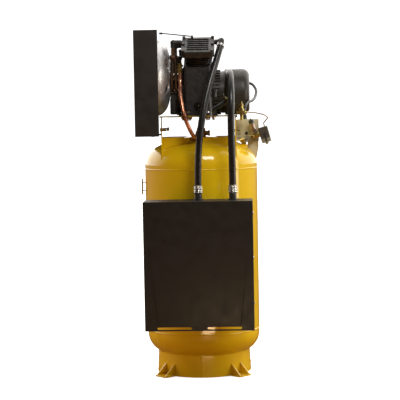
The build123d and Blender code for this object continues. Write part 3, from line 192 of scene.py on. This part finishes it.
def paint_with_painted_shade(name, colour, painted_shade_colour, level):
    """Enamel painted darker above a level, in patches with runs down the edge: painted shade standing in for
    the shadow on the deck's edge.
    """
    tree = Nodes(name)
    split = tree.tree.nodes.new("ShaderNodeSeparateXYZ")
    tree.link(tree.place.outputs["Object"], split.inputs[0])
    # Painted shade: this mask darkens the enamel above the level to a dark olive.
    high = tree.ranged(split.outputs["Z"], 0.0, 1.0, level - 0.010, level + 0.004)
    patches = tree.ranged(tree.noise(22.0, 7.0, (1, 1, 0.3)), 0.55, 1.0)
    paler_painted_shade = tuple(1.8 * part for part in painted_shade_colour)
    shade = tree.mixed(tree.ranged(tree.noise(60.0, 5.0), 0.0, 1.0), painted_shade_colour, paler_painted_shade)
    tree.shader.inputs["Specular IOR Level"].default_value = 0.15
    return finish_surface(
        tree,
        tree.mixed(tree.product(high, patches), colour, shade),
        tree.ranged(tree.noise(12.0, 6.0), 0.26, 0.40),
        tree.bump(tree.noise(160.0, 2.0), 0.06, 0.0008),
        coat=1.0,
        coat_roughness=0.06,
    )


def powder_coat(name, colour, shade, rough_low=0.42, rough_high=0.58, dust=(0.16, 0.15, 0.13)):
    """Fine-textured powder coat with rubbed patches."""
    tree = Nodes(name)
    body = tree.mixed(tree.ranged(tree.noise(7.0, 8.0, distortion=0.6), 0.0, 1.0), colour, shade)
    flecked = tree.mixed(tree.ranged(tree.noise(700.0, 2.0), 0.0, 0.5, 0.55, 0.8), body, dust)
    texture = tree.bump(tree.noise(900.0, 3.0), 0.25, 0.0006)
    return finish_surface(
        tree,
        dusty(tree, flecked, dust, 0.45),
        tree.ranged(tree.noise(18.0, 7.0), rough_low, rough_high),
        tree.bump(tree.noise(35.0, 3.0), 0.05, 0.002, texture),
    )


def cast_paint(name, colour, shade):
    """Painted sand casting: coarse grain under a matt coat, with oily darker patches."""
    tree = Nodes(name)
    body = tree.mixed(tree.ranged(tree.noise(16.0, 8.0), 0.0, 1.0), colour, shade)
    grain = tree.bump(tree.noise(260.0, 6.0), 0.45, 0.0016)
    return finish_surface(
        tree,
        dusty(tree, body, (0.10, 0.09, 0.08), 0.25),
        tree.ranged(tree.noise(40.0, 6.0), 0.38, 0.62),
        tree.bump(tree.noise(60.0, 4.0), 0.3, 0.003, grain),
    )


def turned_metal(name, colour, shade, roughness, direction="X", pitch=260.0, metallic=1.0, bump=0.25):
    """Machined metal: fine tool marks across one axis, with uneven tarnish."""
    tree = Nodes(name)
    body = tree.mixed(tree.ranged(tree.noise(14.0, 8.0, distortion=0.8), 0.0, 1.0), colour, shade)
    marks = tree.wave(direction, pitch, 1.5)
    streaked = tree.mixed(tree.ranged(marks, 0.0, 0.35, 0.2, 0.9), body, shade)
    return finish_surface(
        tree,
        streaked,
        tree.ranged(tree.noise(30.0, 6.0), roughness * 0.75, roughness * 1.3),
        tree.bump(marks, bump, 0.0004, tree.bump(tree.noise(500.0, 3.0), 0.15, 0.0004)),
        metallic,
    )


def plated_metal(name, colour, shade, roughness, spangle=90.0):
    """Zinc or nickel plate: soft crystal patches with dulled spots."""
    tree = Nodes(name)
    body = tree.mixed(tree.ranged(tree.noise(spangle, 5.0, distortion=0.5), 0.0, 1.0), colour, shade)
    spotted = tree.mixed(tree.ranged(tree.noise(380.0, 3.0), 0.0, 0.6, 0.62, 0.75), body, shade)
    return finish_surface(
        tree,
        spotted,
        tree.ranged(tree.noise(60.0, 6.0), roughness * 0.8, roughness * 1.4),
        tree.bump(tree.noise(700.0, 3.0), 0.2, 0.0004),
        1.0,
    )


def drawn_copper(name, metal, oxide_colour, oxide_low=0.0):
    """Copper tube: pink metal under brown oxide that gathers in streaks along it."""
    tree = Nodes(name)
    oxide = tree.ranged(tree.noise(26.0, 8.0, (1, 1, 0.25), 0.6), oxide_low, 1.0)
    spots = tree.ranged(tree.noise(240.0, 4.0), 0.0, 0.5, 0.6, 0.75)
    body = tree.mixed(oxide, metal, oxide_colour)
    return finish_surface(
        tree,
        tree.mixed(spots, body, oxide_colour),
        tree.ranged(tree.noise(50.0, 5.0), 0.24, 0.44),
        tree.bump(tree.noise(120.0, 3.0, (1, 1, 0.1)), 0.1, 0.0006),
        0.95,
    )


def wrapped_rubber(name, colour, shade, wrap=70.0, roughness=(0.26, 0.40)):
    """Hose cover: faint cloth-wrap lines across it, over a dull rubber grain."""
    tree = Nodes(name)
    wraps = tree.wave("DIAGONAL", wrap, 0.6)
    body = tree.mixed(tree.ranged(tree.noise(25.0, 7.0), 0.0, 1.0), colour, shade)
    lined = tree.mixed(tree.ranged(wraps, 0.0, 0.35, 0.7, 1.0), body, shade)
    return finish_surface(
        tree,
        lined,
        tree.ranged(tree.noise(45.0, 5.0), *roughness),
        tree.bump(wraps, 0.18, 0.0006, tree.bump(tree.noise(600.0, 3.0), 0.2, 0.0005)),
    )


def moulded_plastic(name, colour, shade, roughness=(0.35, 0.5)):
    """Moulded plastic with a spark-eroded grain."""
    tree = Nodes(name)
    return finish_surface(
        tree,
        tree.mixed(tree.ranged(tree.noise(20.0, 6.0), 0.0, 1.0), colour, shade),
        tree.ranged(tree.noise(35.0, 5.0), *roughness),
        tree.bump(tree.noise(1100.0, 2.0), 0.3, 0.0004),
    )


def pleated_paper(name):
    tree = Nodes(name)
    return finish_surface(
        tree,
        tree.mixed(tree.ranged(tree.noise(18.0, 7.0), 0.0, 1.0), (0.72, 0.66, 0.5), (0.55, 0.48, 0.34)),
        tree.ranged(tree.noise(50.0, 4.0), 0.75, 0.9),
        tree.bump(tree.noise(900.0, 4.0), 0.5, 0.0006),
    )


def clear_lens(name):
    """Clear glass with a faint haze of fingerprints."""
    tree = Nodes(name)
    tree.shader.inputs["Transmission Weight"].default_value = 1.0
    tree.shader.inputs["IOR"].default_value = 1.45
    return finish_surface(
        tree,
        tree.mixed(tree.ranged(tree.noise(60.0, 5.0), 0.0, 1.0), (0.96, 0.98, 0.96), (0.9, 0.93, 0.9)),
        tree.ranged(tree.noise(90.0, 6.0), 0.02, 0.12),
        tree.bump(tree.noise(40.0, 2.0), 0.03, 0.001),
    )


materials = {
    "tank_yellow": gloss_paint("yellow enamel", (0.82, 0.55, 0.004), (0.78, 0.50, 0.003)),
    "black_sheet": powder_coat(
        "black powder coat", (0.0130, 0.0120, 0.0112), (0.0175, 0.0160, 0.0150), dust=(0.036, 0.033, 0.030)
    ),
    "black_cast": cast_paint("black casting paint", (0.0080, 0.0070, 0.0062), (0.0130, 0.0115, 0.0100)),
    "motor_paint": powder_coat(
        "motor paint", (0.019, 0.016, 0.013), (0.028, 0.024, 0.019), 0.40, 0.54, (0.07, 0.062, 0.053)
    ),
    "flywheel_grey": turned_metal(
        "turned iron", (0.66, 0.65, 0.66), (0.44, 0.43, 0.44), 0.40, pitch=60.0, metallic=0.85
    ),
    "steel": turned_metal("machined steel", (0.62, 0.62, 0.61), (0.42, 0.42, 0.43), 0.3),
    "zinc": plated_metal("zinc plate", (0.78, 0.78, 0.75), (0.50, 0.49, 0.45), 0.25),
    "brass": turned_metal("machined brass", (0.62, 0.50, 0.17), (0.34, 0.27, 0.08), 0.28, "Z", 400.0),
    "copper": drawn_copper("drawn copper", (0.72, 0.33, 0.21), (0.30, 0.12, 0.07)),
    "rubber_hose": wrapped_rubber("hose rubber", (0.0050, 0.0046, 0.0040), (0.0095, 0.0088, 0.0078)),
    "black_plastic": moulded_plastic("black plastic", (0.018, 0.018, 0.017), (0.032, 0.032, 0.029)),
    "grey_metal": powder_coat("grey paint", (0.30, 0.28, 0.20), (0.22, 0.21, 0.15), dust=(0.4, 0.38, 0.3)),
    "starter_beige": powder_coat(
        "beige paint", (0.62, 0.58, 0.40), (0.55, 0.51, 0.34), dust=(0.80, 0.76, 0.58)
    ),
    "filter_foam": pleated_paper("pleated paper"),
    "clear_glass": clear_lens("clear glass"),
    "needle_red": moulded_plastic("red vinyl", (0.42, 0.018, 0.012), (0.30, 0.012, 0.008), (0.28, 0.42)),
}
dial_white = moulded_plastic("dial white", (0.80, 0.79, 0.74), (0.74, 0.73, 0.68), (0.5, 0.6))

old_copper = drawn_copper("smoked copper", (0.42, 0.25, 0.14), (0.05, 0.035, 0.025), 0.5)
grey_tube = plated_metal("dulled tube", (0.50, 0.42, 0.36), (0.30, 0.22, 0.17), 0.35, 60.0)
brown_plate = plated_metal("browned plate", (0.52, 0.42, 0.36), (0.20, 0.10, 0.07), 0.30, 120.0)
mottled_black = powder_coat(
    "switch black", (0.040, 0.036, 0.029), (0.085, 0.075, 0.060), 0.35, 0.5, dust=(0.20, 0.18, 0.14)
)
valve_green = moulded_plastic("cap green", (0.030, 0.042, 0.034), (0.050, 0.062, 0.052))
pale_bracket = powder_coat("pale bracket", (0.62, 0.58, 0.40), (0.54, 0.50, 0.33), dust=(0.66, 0.62, 0.48))
# Yellow deck enamel with painted shade: dark olive above its level stands in for the shadow on the deck's
# edge.
deck_with_painted_shade = paint_with_painted_shade("deck with painted shade", (0.82, 0.55, 0.004), (0.075, 0.052, 0.014), 1.372)
# Painted shade: a darker copy of the black powder coat for the silencer cover, standing in for the dim light
# on its front face.
box_black_painted_shade = powder_coat(
    "box black with painted shade", (0.0050, 0.0052, 0.0054), (0.0080, 0.0080, 0.0082), dust=(0.016, 0.016, 0.016)
)
special = {
    "silencer_cover": box_black_painted_shade,
    "intercooler": old_copper,
    "unloader_tube": grey_tube,
    "relief_valves": brown_plate,
    "safety_valve_cap": valve_green,
    "switch_cover": mottled_black,
    "tank_brackets": pale_bracket,
    "deck": deck_with_painted_shade,
}

for row in frame["record"]["subparts"]:
    cad_mesh = nodes[row["node"]].data
    cad_mesh.materials.clear()
    cad_mesh.materials.append(special.get(row["node"], materials[row["material_slot"]]))


# ---------------------------------------------------------------- piece helpers
def new_piece(name, mesh, body, slot, material=None, smooth=radians(40)):
    """Link a finished mesh as a piece that rides on a body and takes a material slot's finish."""
    mesh.polygons.foreach_set("use_smooth", [True] * len(mesh.polygons))
    mesh.set_sharp_from_angle(angle=smooth)
    mesh.materials.append(material or materials[slot])
    piece = bpy.data.objects.new(name, mesh)
    scene.collection.objects.link(piece)
    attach(piece, body)
    return piece


def turned_frame(place, axis):
    """Matrix that puts local Z along an axis from a place."""
    return Matrix.Translation(Vector(place)) @ Vector(axis).to_track_quat("Z", "Y").to_matrix().to_4x4()


def add_lathe(form, profile, place, axis, steps=48):
    """Add a turned solid to a bmesh: profile is (along, radius) pairs from one end to the other."""
    spun = turned_frame(place, axis)
    rings = []
    for along, radius in profile:
        if radius == 0:
            rings.append([form.verts.new(spun @ Vector((0, 0, along)))])
            continue
        turns = [2 * pi * step / steps for step in range(steps)]
        circle = [Vector((radius * cos(turn), radius * sin(turn), along)) for turn in turns]
        rings.append([form.verts.new(spun @ point) for point in circle])
    for low, high in zip(rings, rings[1:]):
        for step in range(steps):
            after = (step + 1) % steps
            if len(low) == 1:
                form.faces.new((low[0], high[after], high[step]))
            elif len(high) == 1:
                form.faces.new((low[step], low[after], high[0]))
            else:
                form.faces.new((low[step], low[after], high[after], high[step]))


def lathe(name, profile, places, axis, body, slot, material=None, steps=48):
    """The same turned piece at one or more places, as one object."""
    form = bmesh.new()
    for place in places:
        add_lathe(form, profile, place, axis, steps)
    return from_form(name, form, body, slot, material)


def from_form(name, form, body, slot, material=None):
    bmesh.ops.remove_doubles(form, verts=form.verts, dist=1e-7)
    bmesh.ops.recalc_face_normals(form, faces=form.faces)
    mesh = bpy.data.meshes.new(name)
    form.to_mesh(mesh)
    form.free()
    return new_piece(name, mesh, body, slot, material)


def add_bead(form, path, closed, radius, ripple, normal_of):
    """Weld bead along a path: a rounded ridge whose width ripples from puddle to puddle."""
    sides = 6
    rings = []
    count = len(path)
    for index, point in enumerate(path):
        before = path[index - 1] if closed or index else path[0]
        after = path[(index + 1) % count] if closed or index < count - 1 else path[-1]
        along = (after - before).normalized()
        out = normal_of(point)
        across = along.cross(out).normalized()
        width = radius * (1 + 0.16 * sin(ripple * index))
        ring = []
        for side in range(sides):
            turn = 2 * pi * side / sides
            offset = across * width * 1.5 * cos(turn) + out * width * 0.7 * sin(turn)
            ring.append(form.verts.new(point + offset))
        rings.append(ring)
    pairs = list(zip(rings, rings[1:])) + ([(rings[-1], rings[0])] if closed else [])
    for low, high in pairs:
        for side in range(sides):
            after = (side + 1) % sides
            form.faces.new((low[side], low[after], high[after], high[side]))
    if not closed:
        form.faces.new(rings[0])
        form.faces.new(rings[-1][::-1])


# ---------------------------------------------------------------- cords
def make_cord(name, route, diameter, glands=()):
    """Hose or cable on one smooth line through its route, held at both ends by the object."""
    curve = bpy.data.curves.new(name, "CURVE")
    curve.dimensions = "3D"
    curve.bevel_depth = diameter / 2
    curve.bevel_resolution = 7
    curve.use_fill_caps = True
    spline = curve.splines.new("NURBS")
    spline.points.add(len(route) - 1)
    for point, place in zip(spline.points, route):
        point.co = (*place, 1.0)
    spline.order_u = 3
    spline.use_endpoint_u = True
    spline.resolution_u = 20
    curve.materials.append(materials["rubber_hose"])
    cord = bpy.data.objects.new(name + "_line", curve)
    scene.collection.objects.link(cord)
    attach(cord, "root")
    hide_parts(name)


hose_route = [
    (0.0, -0.400, 1.015),
    (0.0, -0.400, 1.180),
    (0.024, -0.392, 1.370),
    (0.060, -0.345, 1.540),
    (0.100, -0.290, 1.668),
    (0.122, -0.252, 1.748),
]
breather_route = [
    (0.178, -0.400, 1.015),
    (0.178, -0.400, 1.165),
    (0.174, -0.402, 1.330),
    (0.178, -0.400, 1.491),
    (0.172, -0.289, 1.616),
    (0.160, -0.131, 1.610),
    (0.150, -0.034, 1.505),
]
cable_route = [
    (0.050, 0.444, 1.536),
    (0.125, 0.444, 1.536),
    (0.205, 0.446, 1.566),
    (0.277, 0.412, 1.576),
    (0.310, 0.352, 1.530),
    (0.300, 0.285, 1.486),
    (0.284, 0.222, 1.468),
    (0.258, 0.160, 1.460),
    (0.243, 0.112, 1.437),
    (0.240, 0.094, 1.400),
    (0.240, 0.090, 1.364),
]


def make_cable_glands():
    """Domed compression glands where the motor cable goes into the terminal box and the starter box."""
    outline = [(0, 0.0076), (0, 0.0135), (0.006, 0.0135), (0.0065, 0.0120)]
    for ridge in range(6):
        low = 0.008 + ridge * 0.0024
        outline += [(low, 0.0128), (low + 0.0012, 0.0128), (low + 0.0014, 0.0121), (low + 0.0022, 0.0121)]
    outline += [(0.0240, 0.0112), (0.0280, 0.0092), (0.0300, 0.0080), (0.0300, 0.0076), (0, 0.0076)]
    return [
        lathe("terminal_gland", outline, [cable_route[0]], (1, 0, 0), "root", "black_plastic"),
        lathe("starter_gland", outline, [cable_route[-1]], (0, 0, 1), "root", "black_plastic"),
    ]


make_cord("intake_hose", hose_route, 0.035)
make_cord("breather_hose", breather_route, 0.036)
make_cord("motor_cable", cable_route, 0.015, glands=make_cable_glands())


# ---------------------------------------------------------------- hose ends
stub_places = [(0.0, -0.400), (0.178, -0.400)]
ferrule_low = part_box("hose_ferrules")[0][2]


def ferrule_outline():
    """Crimped sleeve: four rolled ridges, then a plain mouth that laps over the hose."""
    outline = [(0.0, 0.0140), (0.0, 0.0205), (0.0015, 0.0220)]
    for crimp in range(4):
        low = 0.0040 + crimp * 0.0085
        outline += [(low, 0.0226), (low + 0.0015, 0.0238), (low + 0.0035, 0.0238), (low + 0.0050, 0.0226)]
        outline.append((low + 0.0065, 0.0212))
    outline += [(0.0400, 0.0226), (0.0412, 0.0214), (0.0412, 0.0182)]
    return outline + [(0.0250, 0.0182), (0.0250, 0.0140), (0.0, 0.0140)]


ferrules = lathe(
    "crimped_ferrules",
    ferrule_outline(),
    [(x, y, ferrule_low) for x, y in stub_places],
    (0, 0, 1),
    "root",
    "zinc",
)
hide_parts("hose_ferrules")


def hose_clamp(name, place, axis, radius, width=0.012):
    """Worm-drive band clamp: slotted band, screw housing and hexagonal screw head."""
    form = bmesh.new()
    half = width / 2
    rim = radius + 0.0011
    band = [(-half, radius), (-half, rim), (half, rim), (half, radius), (-half, radius)]
    add_lathe(form, band, place, axis, 64)
    turned = turned_frame(place, axis)
    for step in range(40):
        slot = Matrix.Rotation(2 * pi * step / 40, 4, "Z") @ Matrix.Translation((rim, 0, 0))
        shape = Matrix.Diagonal((0.0006, 0.0011, width * 0.5, 1))
        bmesh.ops.create_cube(form, size=1.0, matrix=turned @ slot @ shape)
    under = Matrix.Translation((0, -radius - 0.0042, 0))
    housing = under @ Matrix.Diagonal((0.016, 0.0075, width + 0.002, 1))
    bmesh.ops.create_cube(form, size=1.0, matrix=turned @ housing)
    screw = turned @ Matrix.Translation((0, -radius - 0.0045, 0)) @ Matrix.Rotation(pi / 2, 4, "Y")
    outline = [(-0.010, 0), (-0.010, 0.0022), (0.009, 0.0022), (0.009, 0.0040)]
    outline += [(0.0135, 0.0040), (0.0140, 0.0034), (0.0140, 0)]
    add_lathe(form, outline, screw.translation, screw.to_3x3().col[2], 6)
    return from_form(name, form, "root", "steel")


def end_way(cord_route):
    """Direction of a route's last run."""
    return (Vector(cord_route[-1]) - Vector(cord_route[-2])).normalized()


for name, route in (("intake_clamp", hose_route), ("breather_clamp", breather_route)):
    way = end_way(route)
    hose_clamp(name, Vector(route[-1]) + way * 0.008, way, 0.0191)


# ---------------------------------------------------------------- belts
def belt_line(wheel, wheel_r, pulley, pulley_r, step):
    """Points round both sheaves in (y, z), each with its outward direction, a step apart."""
    across = Vector(pulley) - Vector(wheel)
    lean = atan2(across.y, across.x)
    spread = pi / 2 - asin((wheel_r - pulley_r) / across.length)
    line = []

    def add_arc(centre, radius, start, stop):
        count = max(2, round(radius * (stop - start) / step))
        for index in range(count + 1):
            turn = start + (stop - start) * index / count
            out = Vector((cos(turn), sin(turn)))
            line.append((Vector(centre) + out * radius, out))

    def add_straight(start, stop, out):
        count = round((stop - start).length / step)
        line.extend((start.lerp(stop, index / count), out) for index in range(1, count))

    add_arc(wheel, wheel_r, lean + spread, lean + 2 * pi - spread)
    low_start, low_out = line[-1]
    add_straight(low_start, Vector(pulley) + low_out * pulley_r, low_out)
    add_arc(pulley, pulley_r, lean - spread, lean + spread)
    high_start, high_out = line[-1]
    add_straight(high_start, line[0][0], high_out)
    return line


def make_belts():
    """Two cogged V-belts: a flat back, sloping sides and notches across the inner face."""
    form = bmesh.new()
    line = belt_line((-0.150, 1.597), 0.200, (0.290, 1.520), 0.080, 0.0045)
    for x in (-0.2935, -0.2745):
        rings = []
        for index, (point, out) in enumerate(line):
            depth = 0.0040 if index % 2 else 0.0024
            back = ((-0.0062, 0.0040), (-0.0056, 0.0046), (0.0056, 0.0046), (0.0062, 0.0040))
            section = (*back, (0.0044, -depth), (-0.0044, -depth))
            ring = []
            for shift, rise in section:
                place = point + out * rise
                ring.append(form.verts.new((x + shift, place.x, place.y)))
            rings.append(ring)
        for low, high in zip(rings, rings[1:] + rings[:1]):
            for side in range(len(low)):
                after = (side + 1) % len(low)
                form.faces.new((low[side], low[after], high[after], high[side]))
    belts = from_form("cogged_belts", form, "root", "rubber_hose")
    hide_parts("v_belts")


make_belts()


# ---------------------------------------------------------------- welds
tank_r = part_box("tank_shell")[1][0]
ring_foot_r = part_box("base_ring")[1][0]
ring_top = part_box("base_ring")[1][2]
shell_low, shell_high = 0.2105, 1.1285
head_depth = 0.1525
knuckle_r = 0.1054
knuckle_out = tank_r - knuckle_r
crown_r = (knuckle_out**2 + head_depth**2 - knuckle_r**2) / (2 * (head_depth - knuckle_r))
crown_drop = crown_r - head_depth
crown_edge = atan2(crown_drop, knuckle_out)


def dome_z(x, y):
    """Height of the tank's top head above a point of the floor."""
    out = hypot(x, y)
    if out < crown_r * cos(crown_edge):
        return shell_high - crown_drop + sqrt(crown_r**2 - out**2)
    return shell_high + sqrt(max(0.0, knuckle_r**2 - (out - knuckle_out) ** 2))


def outward(point):
    """Direction away from the tank's axis."""
    return Vector((point.x, point.y, 0)).normalized()


def turned_path(radius, height, steps):
    turns = [2 * pi * step / steps for step in range(steps)]
    return [Vector((radius * cos(turn), radius * sin(turn), height)) for turn in turns]


def bung_path(height, radius, steps=48):
    """Edge of a round bung on the back of the shell."""
    path = []
    for step in range(steps):
        turn = 2 * pi * step / steps
        across = radius * cos(turn)
        path.append(Vector((across, sqrt(tank_r**2 - across**2), height + radius * sin(turn))))
    return path


def straight_path(start, stop, pitch=0.004):
    count = max(2, round((Vector(stop) - Vector(start)).length / pitch))
    return [Vector(start).lerp(Vector(stop), index / count) for index in range(count + 1)]


# Middles of the deck's legs and saddle plates, their welds' distance from those, and the notch for the tube
leg_middle = 0.195
saddle_middle = 0.180
weld_offset = 0.0035
leg_reach = 0.224
saddle_reach = 0.190
notch_low, notch_high = -0.056, 0.020


def add_dome_bead(form, start, end, width):
    """Bead along the tank's dome between two places in plan."""
    count = round((Vector(end) - Vector(start)).length / 0.004)
    plan = [Vector(start).lerp(Vector(end), step / count) for step in range(count + 1)]
    path = [Vector((place.x, place.y, dome_z(place.x, place.y))) for place in plan]
    add_bead(form, path, False, width, 2.2, lambda point: Vector((0, 0, 1)))


def make_welds():
    """Painted weld beads on the shell, the base ring, the deck's legs, its saddles and the bungs."""
    form = bmesh.new()
    seam_steps = 460
    for height in (shell_low + 0.0225, shell_high - 0.0225):
        add_bead(form, turned_path(tank_r - 0.0003, height, seam_steps), True, 0.0026, 2.1, outward)
    add_bead(form, turned_path(0.2492, ring_top + 0.001, 380), True, 0.0030, 2.3, outward)
    seam_turn = radians(58)
    seam_place = ((tank_r - 0.0003) * cos(seam_turn), (tank_r - 0.0003) * sin(seam_turn))
    seam = straight_path((*seam_place, shell_low + 0.022), (*seam_place, shell_high - 0.022))
    add_bead(form, seam, False, 0.0026, 2.1, outward)
    ring_seam = straight_path((0.0, -ring_foot_r, 0.002), (0.0, -0.2494, ring_top))
    add_bead(form, ring_seam, False, 0.0019, 2.4, outward)
    for side in (-1, 1):
        for x in (side * (leg_middle + weld_offset), side * (leg_middle - weld_offset)):
            add_dome_bead(form, (x, -leg_reach), (x, leg_reach), 0.0024)
    front_faces = (-saddle_middle - weld_offset, -saddle_middle + weld_offset)
    for low_x, high_x in ((-saddle_reach, notch_low), (notch_high, saddle_reach)):
        for y in front_faces:
            add_dome_bead(form, (low_x, y), (high_x, y), 0.0022)
    for y in (saddle_middle - weld_offset, saddle_middle + weld_offset):
        add_dome_bead(form, (-saddle_reach, y), (saddle_reach, y), 0.0022)
    for height in (0.900, 0.620):
        add_bead(form, bung_path(height, 0.0246), True, 0.0022, 2.2, outward)
    from_form("weld_beads", form, "root", "tank_yellow")


make_welds()


# ---------------------------------------------------------------- small fittings
def make_gauge_dial():
    """White gauge dial with a scale of ticks."""
    low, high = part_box("gauge_case")
    centre = Vector(((low[0] + high[0]) / 2, low[1] + 0.0095, (low[2] + high[2]) / 2))
    outline = [(0, 0), (0, 0.0137), (0.0008, 0.0137), (0.0010, 0.0135), (0.0010, 0)]
    lathe("gauge_dial", outline, [centre], (0, -1, 0), "root", "zinc", dial_white)
    form = bmesh.new()
    for tick in range(25):
        turn = radians(225 - 270 * tick / 24)
        length = 0.0030 if tick % 4 == 0 else 0.0017
        out = 0.0128 - length / 2
        place = Matrix.Translation(centre + Vector((cos(turn) * out, -0.0011, sin(turn) * out)))
        size = Matrix.Diagonal((length, 0.0003, 0.0006 if tick % 4 == 0 else 0.00035, 1))
        bmesh.ops.create_cube(form, size=1.0, matrix=place @ Matrix.Rotation(-turn, 4, "Y") @ size)
    from_form("gauge_ticks", form, "root", "black_plastic")


def make_plate_trim():
    """Blank data plate: a raised border on the bracket at the left."""
    low, high = (-0.0400, 0.9650), (0.0400, 1.0520)
    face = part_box("tank_brackets")[0][0]
    form = bmesh.new()
    for y, z, size in (
        (0, low[1] + 0.004, (0.0006, 0.066, 0.0016)),
        (0, high[1] - 0.004, (0.0006, 0.066, 0.0016)),
        (low[0] + 0.006, (low[1] + high[1]) / 2, (0.0006, 0.0016, 0.078)),
        (high[0] - 0.006, (low[1] + high[1]) / 2, (0.0006, 0.0016, 0.078)),
    ):
        place = Matrix.Translation((face + 0.0003, y, z))
        bmesh.ops.create_cube(form, size=1.0, matrix=place @ Matrix.Diagonal((*size, 1)))
    from_form("plate_border", form, "root", "zinc")


def make_sight_glass():
    """Oil sight glass: turned bezel and domed lens."""
    low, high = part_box("oil_sight_glass")
    centre = Vector(((low[0] + high[0]) / 2, low[1] + 0.0035, (low[2] + high[2]) / 2))
    rim = (high[0] - low[0]) / 2
    bezel = [(0, 0.66), (0, 0.98), (0.0024, 0.98), (0.0034, 0.90), (0.0034, 0.72), (0.0026, 0.66), (0, 0.66)]
    bezel = [(along, rim * share) for along, share in bezel]
    lathe("sight_bezel", bezel, [centre], (0, -1, 0), "root", "black_cast")
    glass = [(0, 0), (0, 0.66), (0.0012, 0.655), (0.0022, 0.48), (0.0028, 0.26), (0.0030, 0)]
    glass = [(along, rim * share) for along, share in glass]
    lathe("sight_lens", glass, [centre], (0, -1, 0), "root", "clear_glass")


make_gauge_dial()
make_plate_trim()
make_sight_glass()


# ---------------------------------------------------------------- soft edges
def soften(name, width, segments=2):
    """Round a sheet-metal or cast piece's sharp edges so that they catch the light."""
    piece = nodes[name]
    weld = piece.modifiers.new("weld", "WELD")
    weld.merge_threshold = 0.00002
    bevel = piece.modifiers.new("soft edges", "BEVEL")
    bevel.width = width
    bevel.segments = segments
    bevel.limit_method = "ANGLE"
    bevel.angle_limit = radians(50)
    bevel.harden_normals = True


for name, width in (
    ("silencer_cover", 0.0010),
    ("belt_guard", 0.0010),
    ("starter_box", 0.0008),
    ("starter_cover", 0.0008),
    ("base_feet", 0.0010),
    ("switch_cover", 0.0006),
):
    soften(name, width)


# ---------------------------------------------------------------- studio
def make_floor():
    """Pale floor that reads as bright white paper but throws little light back on the object."""
    mesh = bpy.data.meshes.new("floor")
    reach = 60.0
    corners = [(-reach, -reach, 0), (reach, -reach, 0), (reach, reach, 0), (-reach, reach, 0)]
    mesh.from_pydata(corners, [], [(0, 1, 2, 3)])
    floor = bpy.data.objects.new("floor", mesh)
    scene.collection.objects.link(floor)
    tree = Nodes("pale floor")
    finish_surface(
        tree,
        tree.mixed(tree.ranged(tree.noise(3.0, 3.0), 0.0, 1.0), (0.93, 0.93, 0.93), (0.91, 0.91, 0.91)),
        tree.ranged(tree.noise(5.0, 3.0), 0.7, 0.8),
        tree.bump(tree.noise(80.0, 2.0), 0.02, 0.0005),
    )
    tree.shader.inputs["Emission Color"].default_value = (1.0, 1.0, 1.0, 1.0)
    tree.shader.inputs["Emission Strength"].default_value = 0.72
    dim = tree.add("ShaderNodeBsdfDiffuse", Color=(0.20, 0.085, 0.03, 1.0))
    seen = tree.tree.nodes.new("ShaderNodeLightPath")
    either = tree.tree.nodes.new("ShaderNodeMixShader")
    output = tree.tree.nodes["Material Output"]
    tree.link(seen.outputs["Is Camera Ray"], either.inputs[0])
    tree.link(dim.outputs[0], either.inputs[1])
    tree.link(tree.shader.outputs[0], either.inputs[2])
    tree.link(either.outputs[0], output.inputs["Surface"])
    mesh.materials.append(tree.material)


def make_room(front, back, turn_low, turn_high):
    """Room light: dim towards the camera, bright behind the object; the backdrop itself is plain white."""
    world = bpy.data.worlds.new("studio")
    world.use_nodes = True
    scene.world = world
    tree = world.node_tree
    tree.nodes.clear()
    place = tree.nodes.new("ShaderNodeTexCoord")
    split = tree.nodes.new("ShaderNodeSeparateXYZ")
    depth = tree.nodes.new("ShaderNodeMapRange")
    depth.interpolation_type = "SMOOTHSTEP"
    for index, value in ((1, turn_low), (2, turn_high), (3, front), (4, back)):
        depth.inputs[index].default_value = value
    room = tree.nodes.new("ShaderNodeBackground")
    room.inputs["Color"].default_value = (1.0, 0.97, 0.92, 1.0)
    backdrop = tree.nodes.new("ShaderNodeBackground")
    backdrop.inputs["Color"].default_value = (1.0, 1.0, 1.0, 1.0)
    seen = tree.nodes.new("ShaderNodeLightPath")
    either = tree.nodes.new("ShaderNodeMixShader")
    output = tree.nodes.new("ShaderNodeOutputWorld")
    for source, target in (
        (place.outputs["Generated"], split.inputs[0]),
        (split.outputs["Y"], depth.inputs[0]),
        (depth.outputs[0], room.inputs["Strength"]),
        (seen.outputs["Is Camera Ray"], either.inputs[0]),
        (room.outputs[0], either.inputs[1]),
        (backdrop.outputs[0], either.inputs[2]),
        (either.outputs[0], output.inputs[0]),
    ):
        tree.links.new(source, target)
    backdrop.inputs["Strength"].default_value = 1.3
    scene.view_settings.view_transform = "Standard"


def soft_light(name, place, target, size, power, tint):
    data = bpy.data.lights.new(name, "AREA")
    data.shape = "RECTANGLE"
    data.size, data.size_y = size
    data.energy = power
    data.color = tint
    light = bpy.data.objects.new(name, data)
    scene.collection.objects.link(light)
    light.location = place
    light.rotation_euler = (Vector(target) - Vector(place)).to_track_quat("-Z", "Y").to_euler()


make_floor()
make_room(0.03, 2.5, -0.34, 0.42)
soft_light("high_box", (0.9, -2.5, 3.3), (0, 0, 1.0), (1.2, 1.0), 54, (1.0, 0.97, 0.92))
soft_light("right_box", (2.5, -0.8, 1.2), (0, 0, 0.8), (0.7, 2.2), 24, (1.0, 0.95, 0.84))
soft_light("low_box", (0.3, -1.6, 0.06), (0, 0, 0.12), (0.7, 0.08), 2.8, (1.0, 0.72, 0.40))
soft_light("low_left_box", (-2.0, -0.6, 0.35), (-0.2, 0, 0.1), (1.0, 0.7), 7, (1.0, 0.60, 0.30))
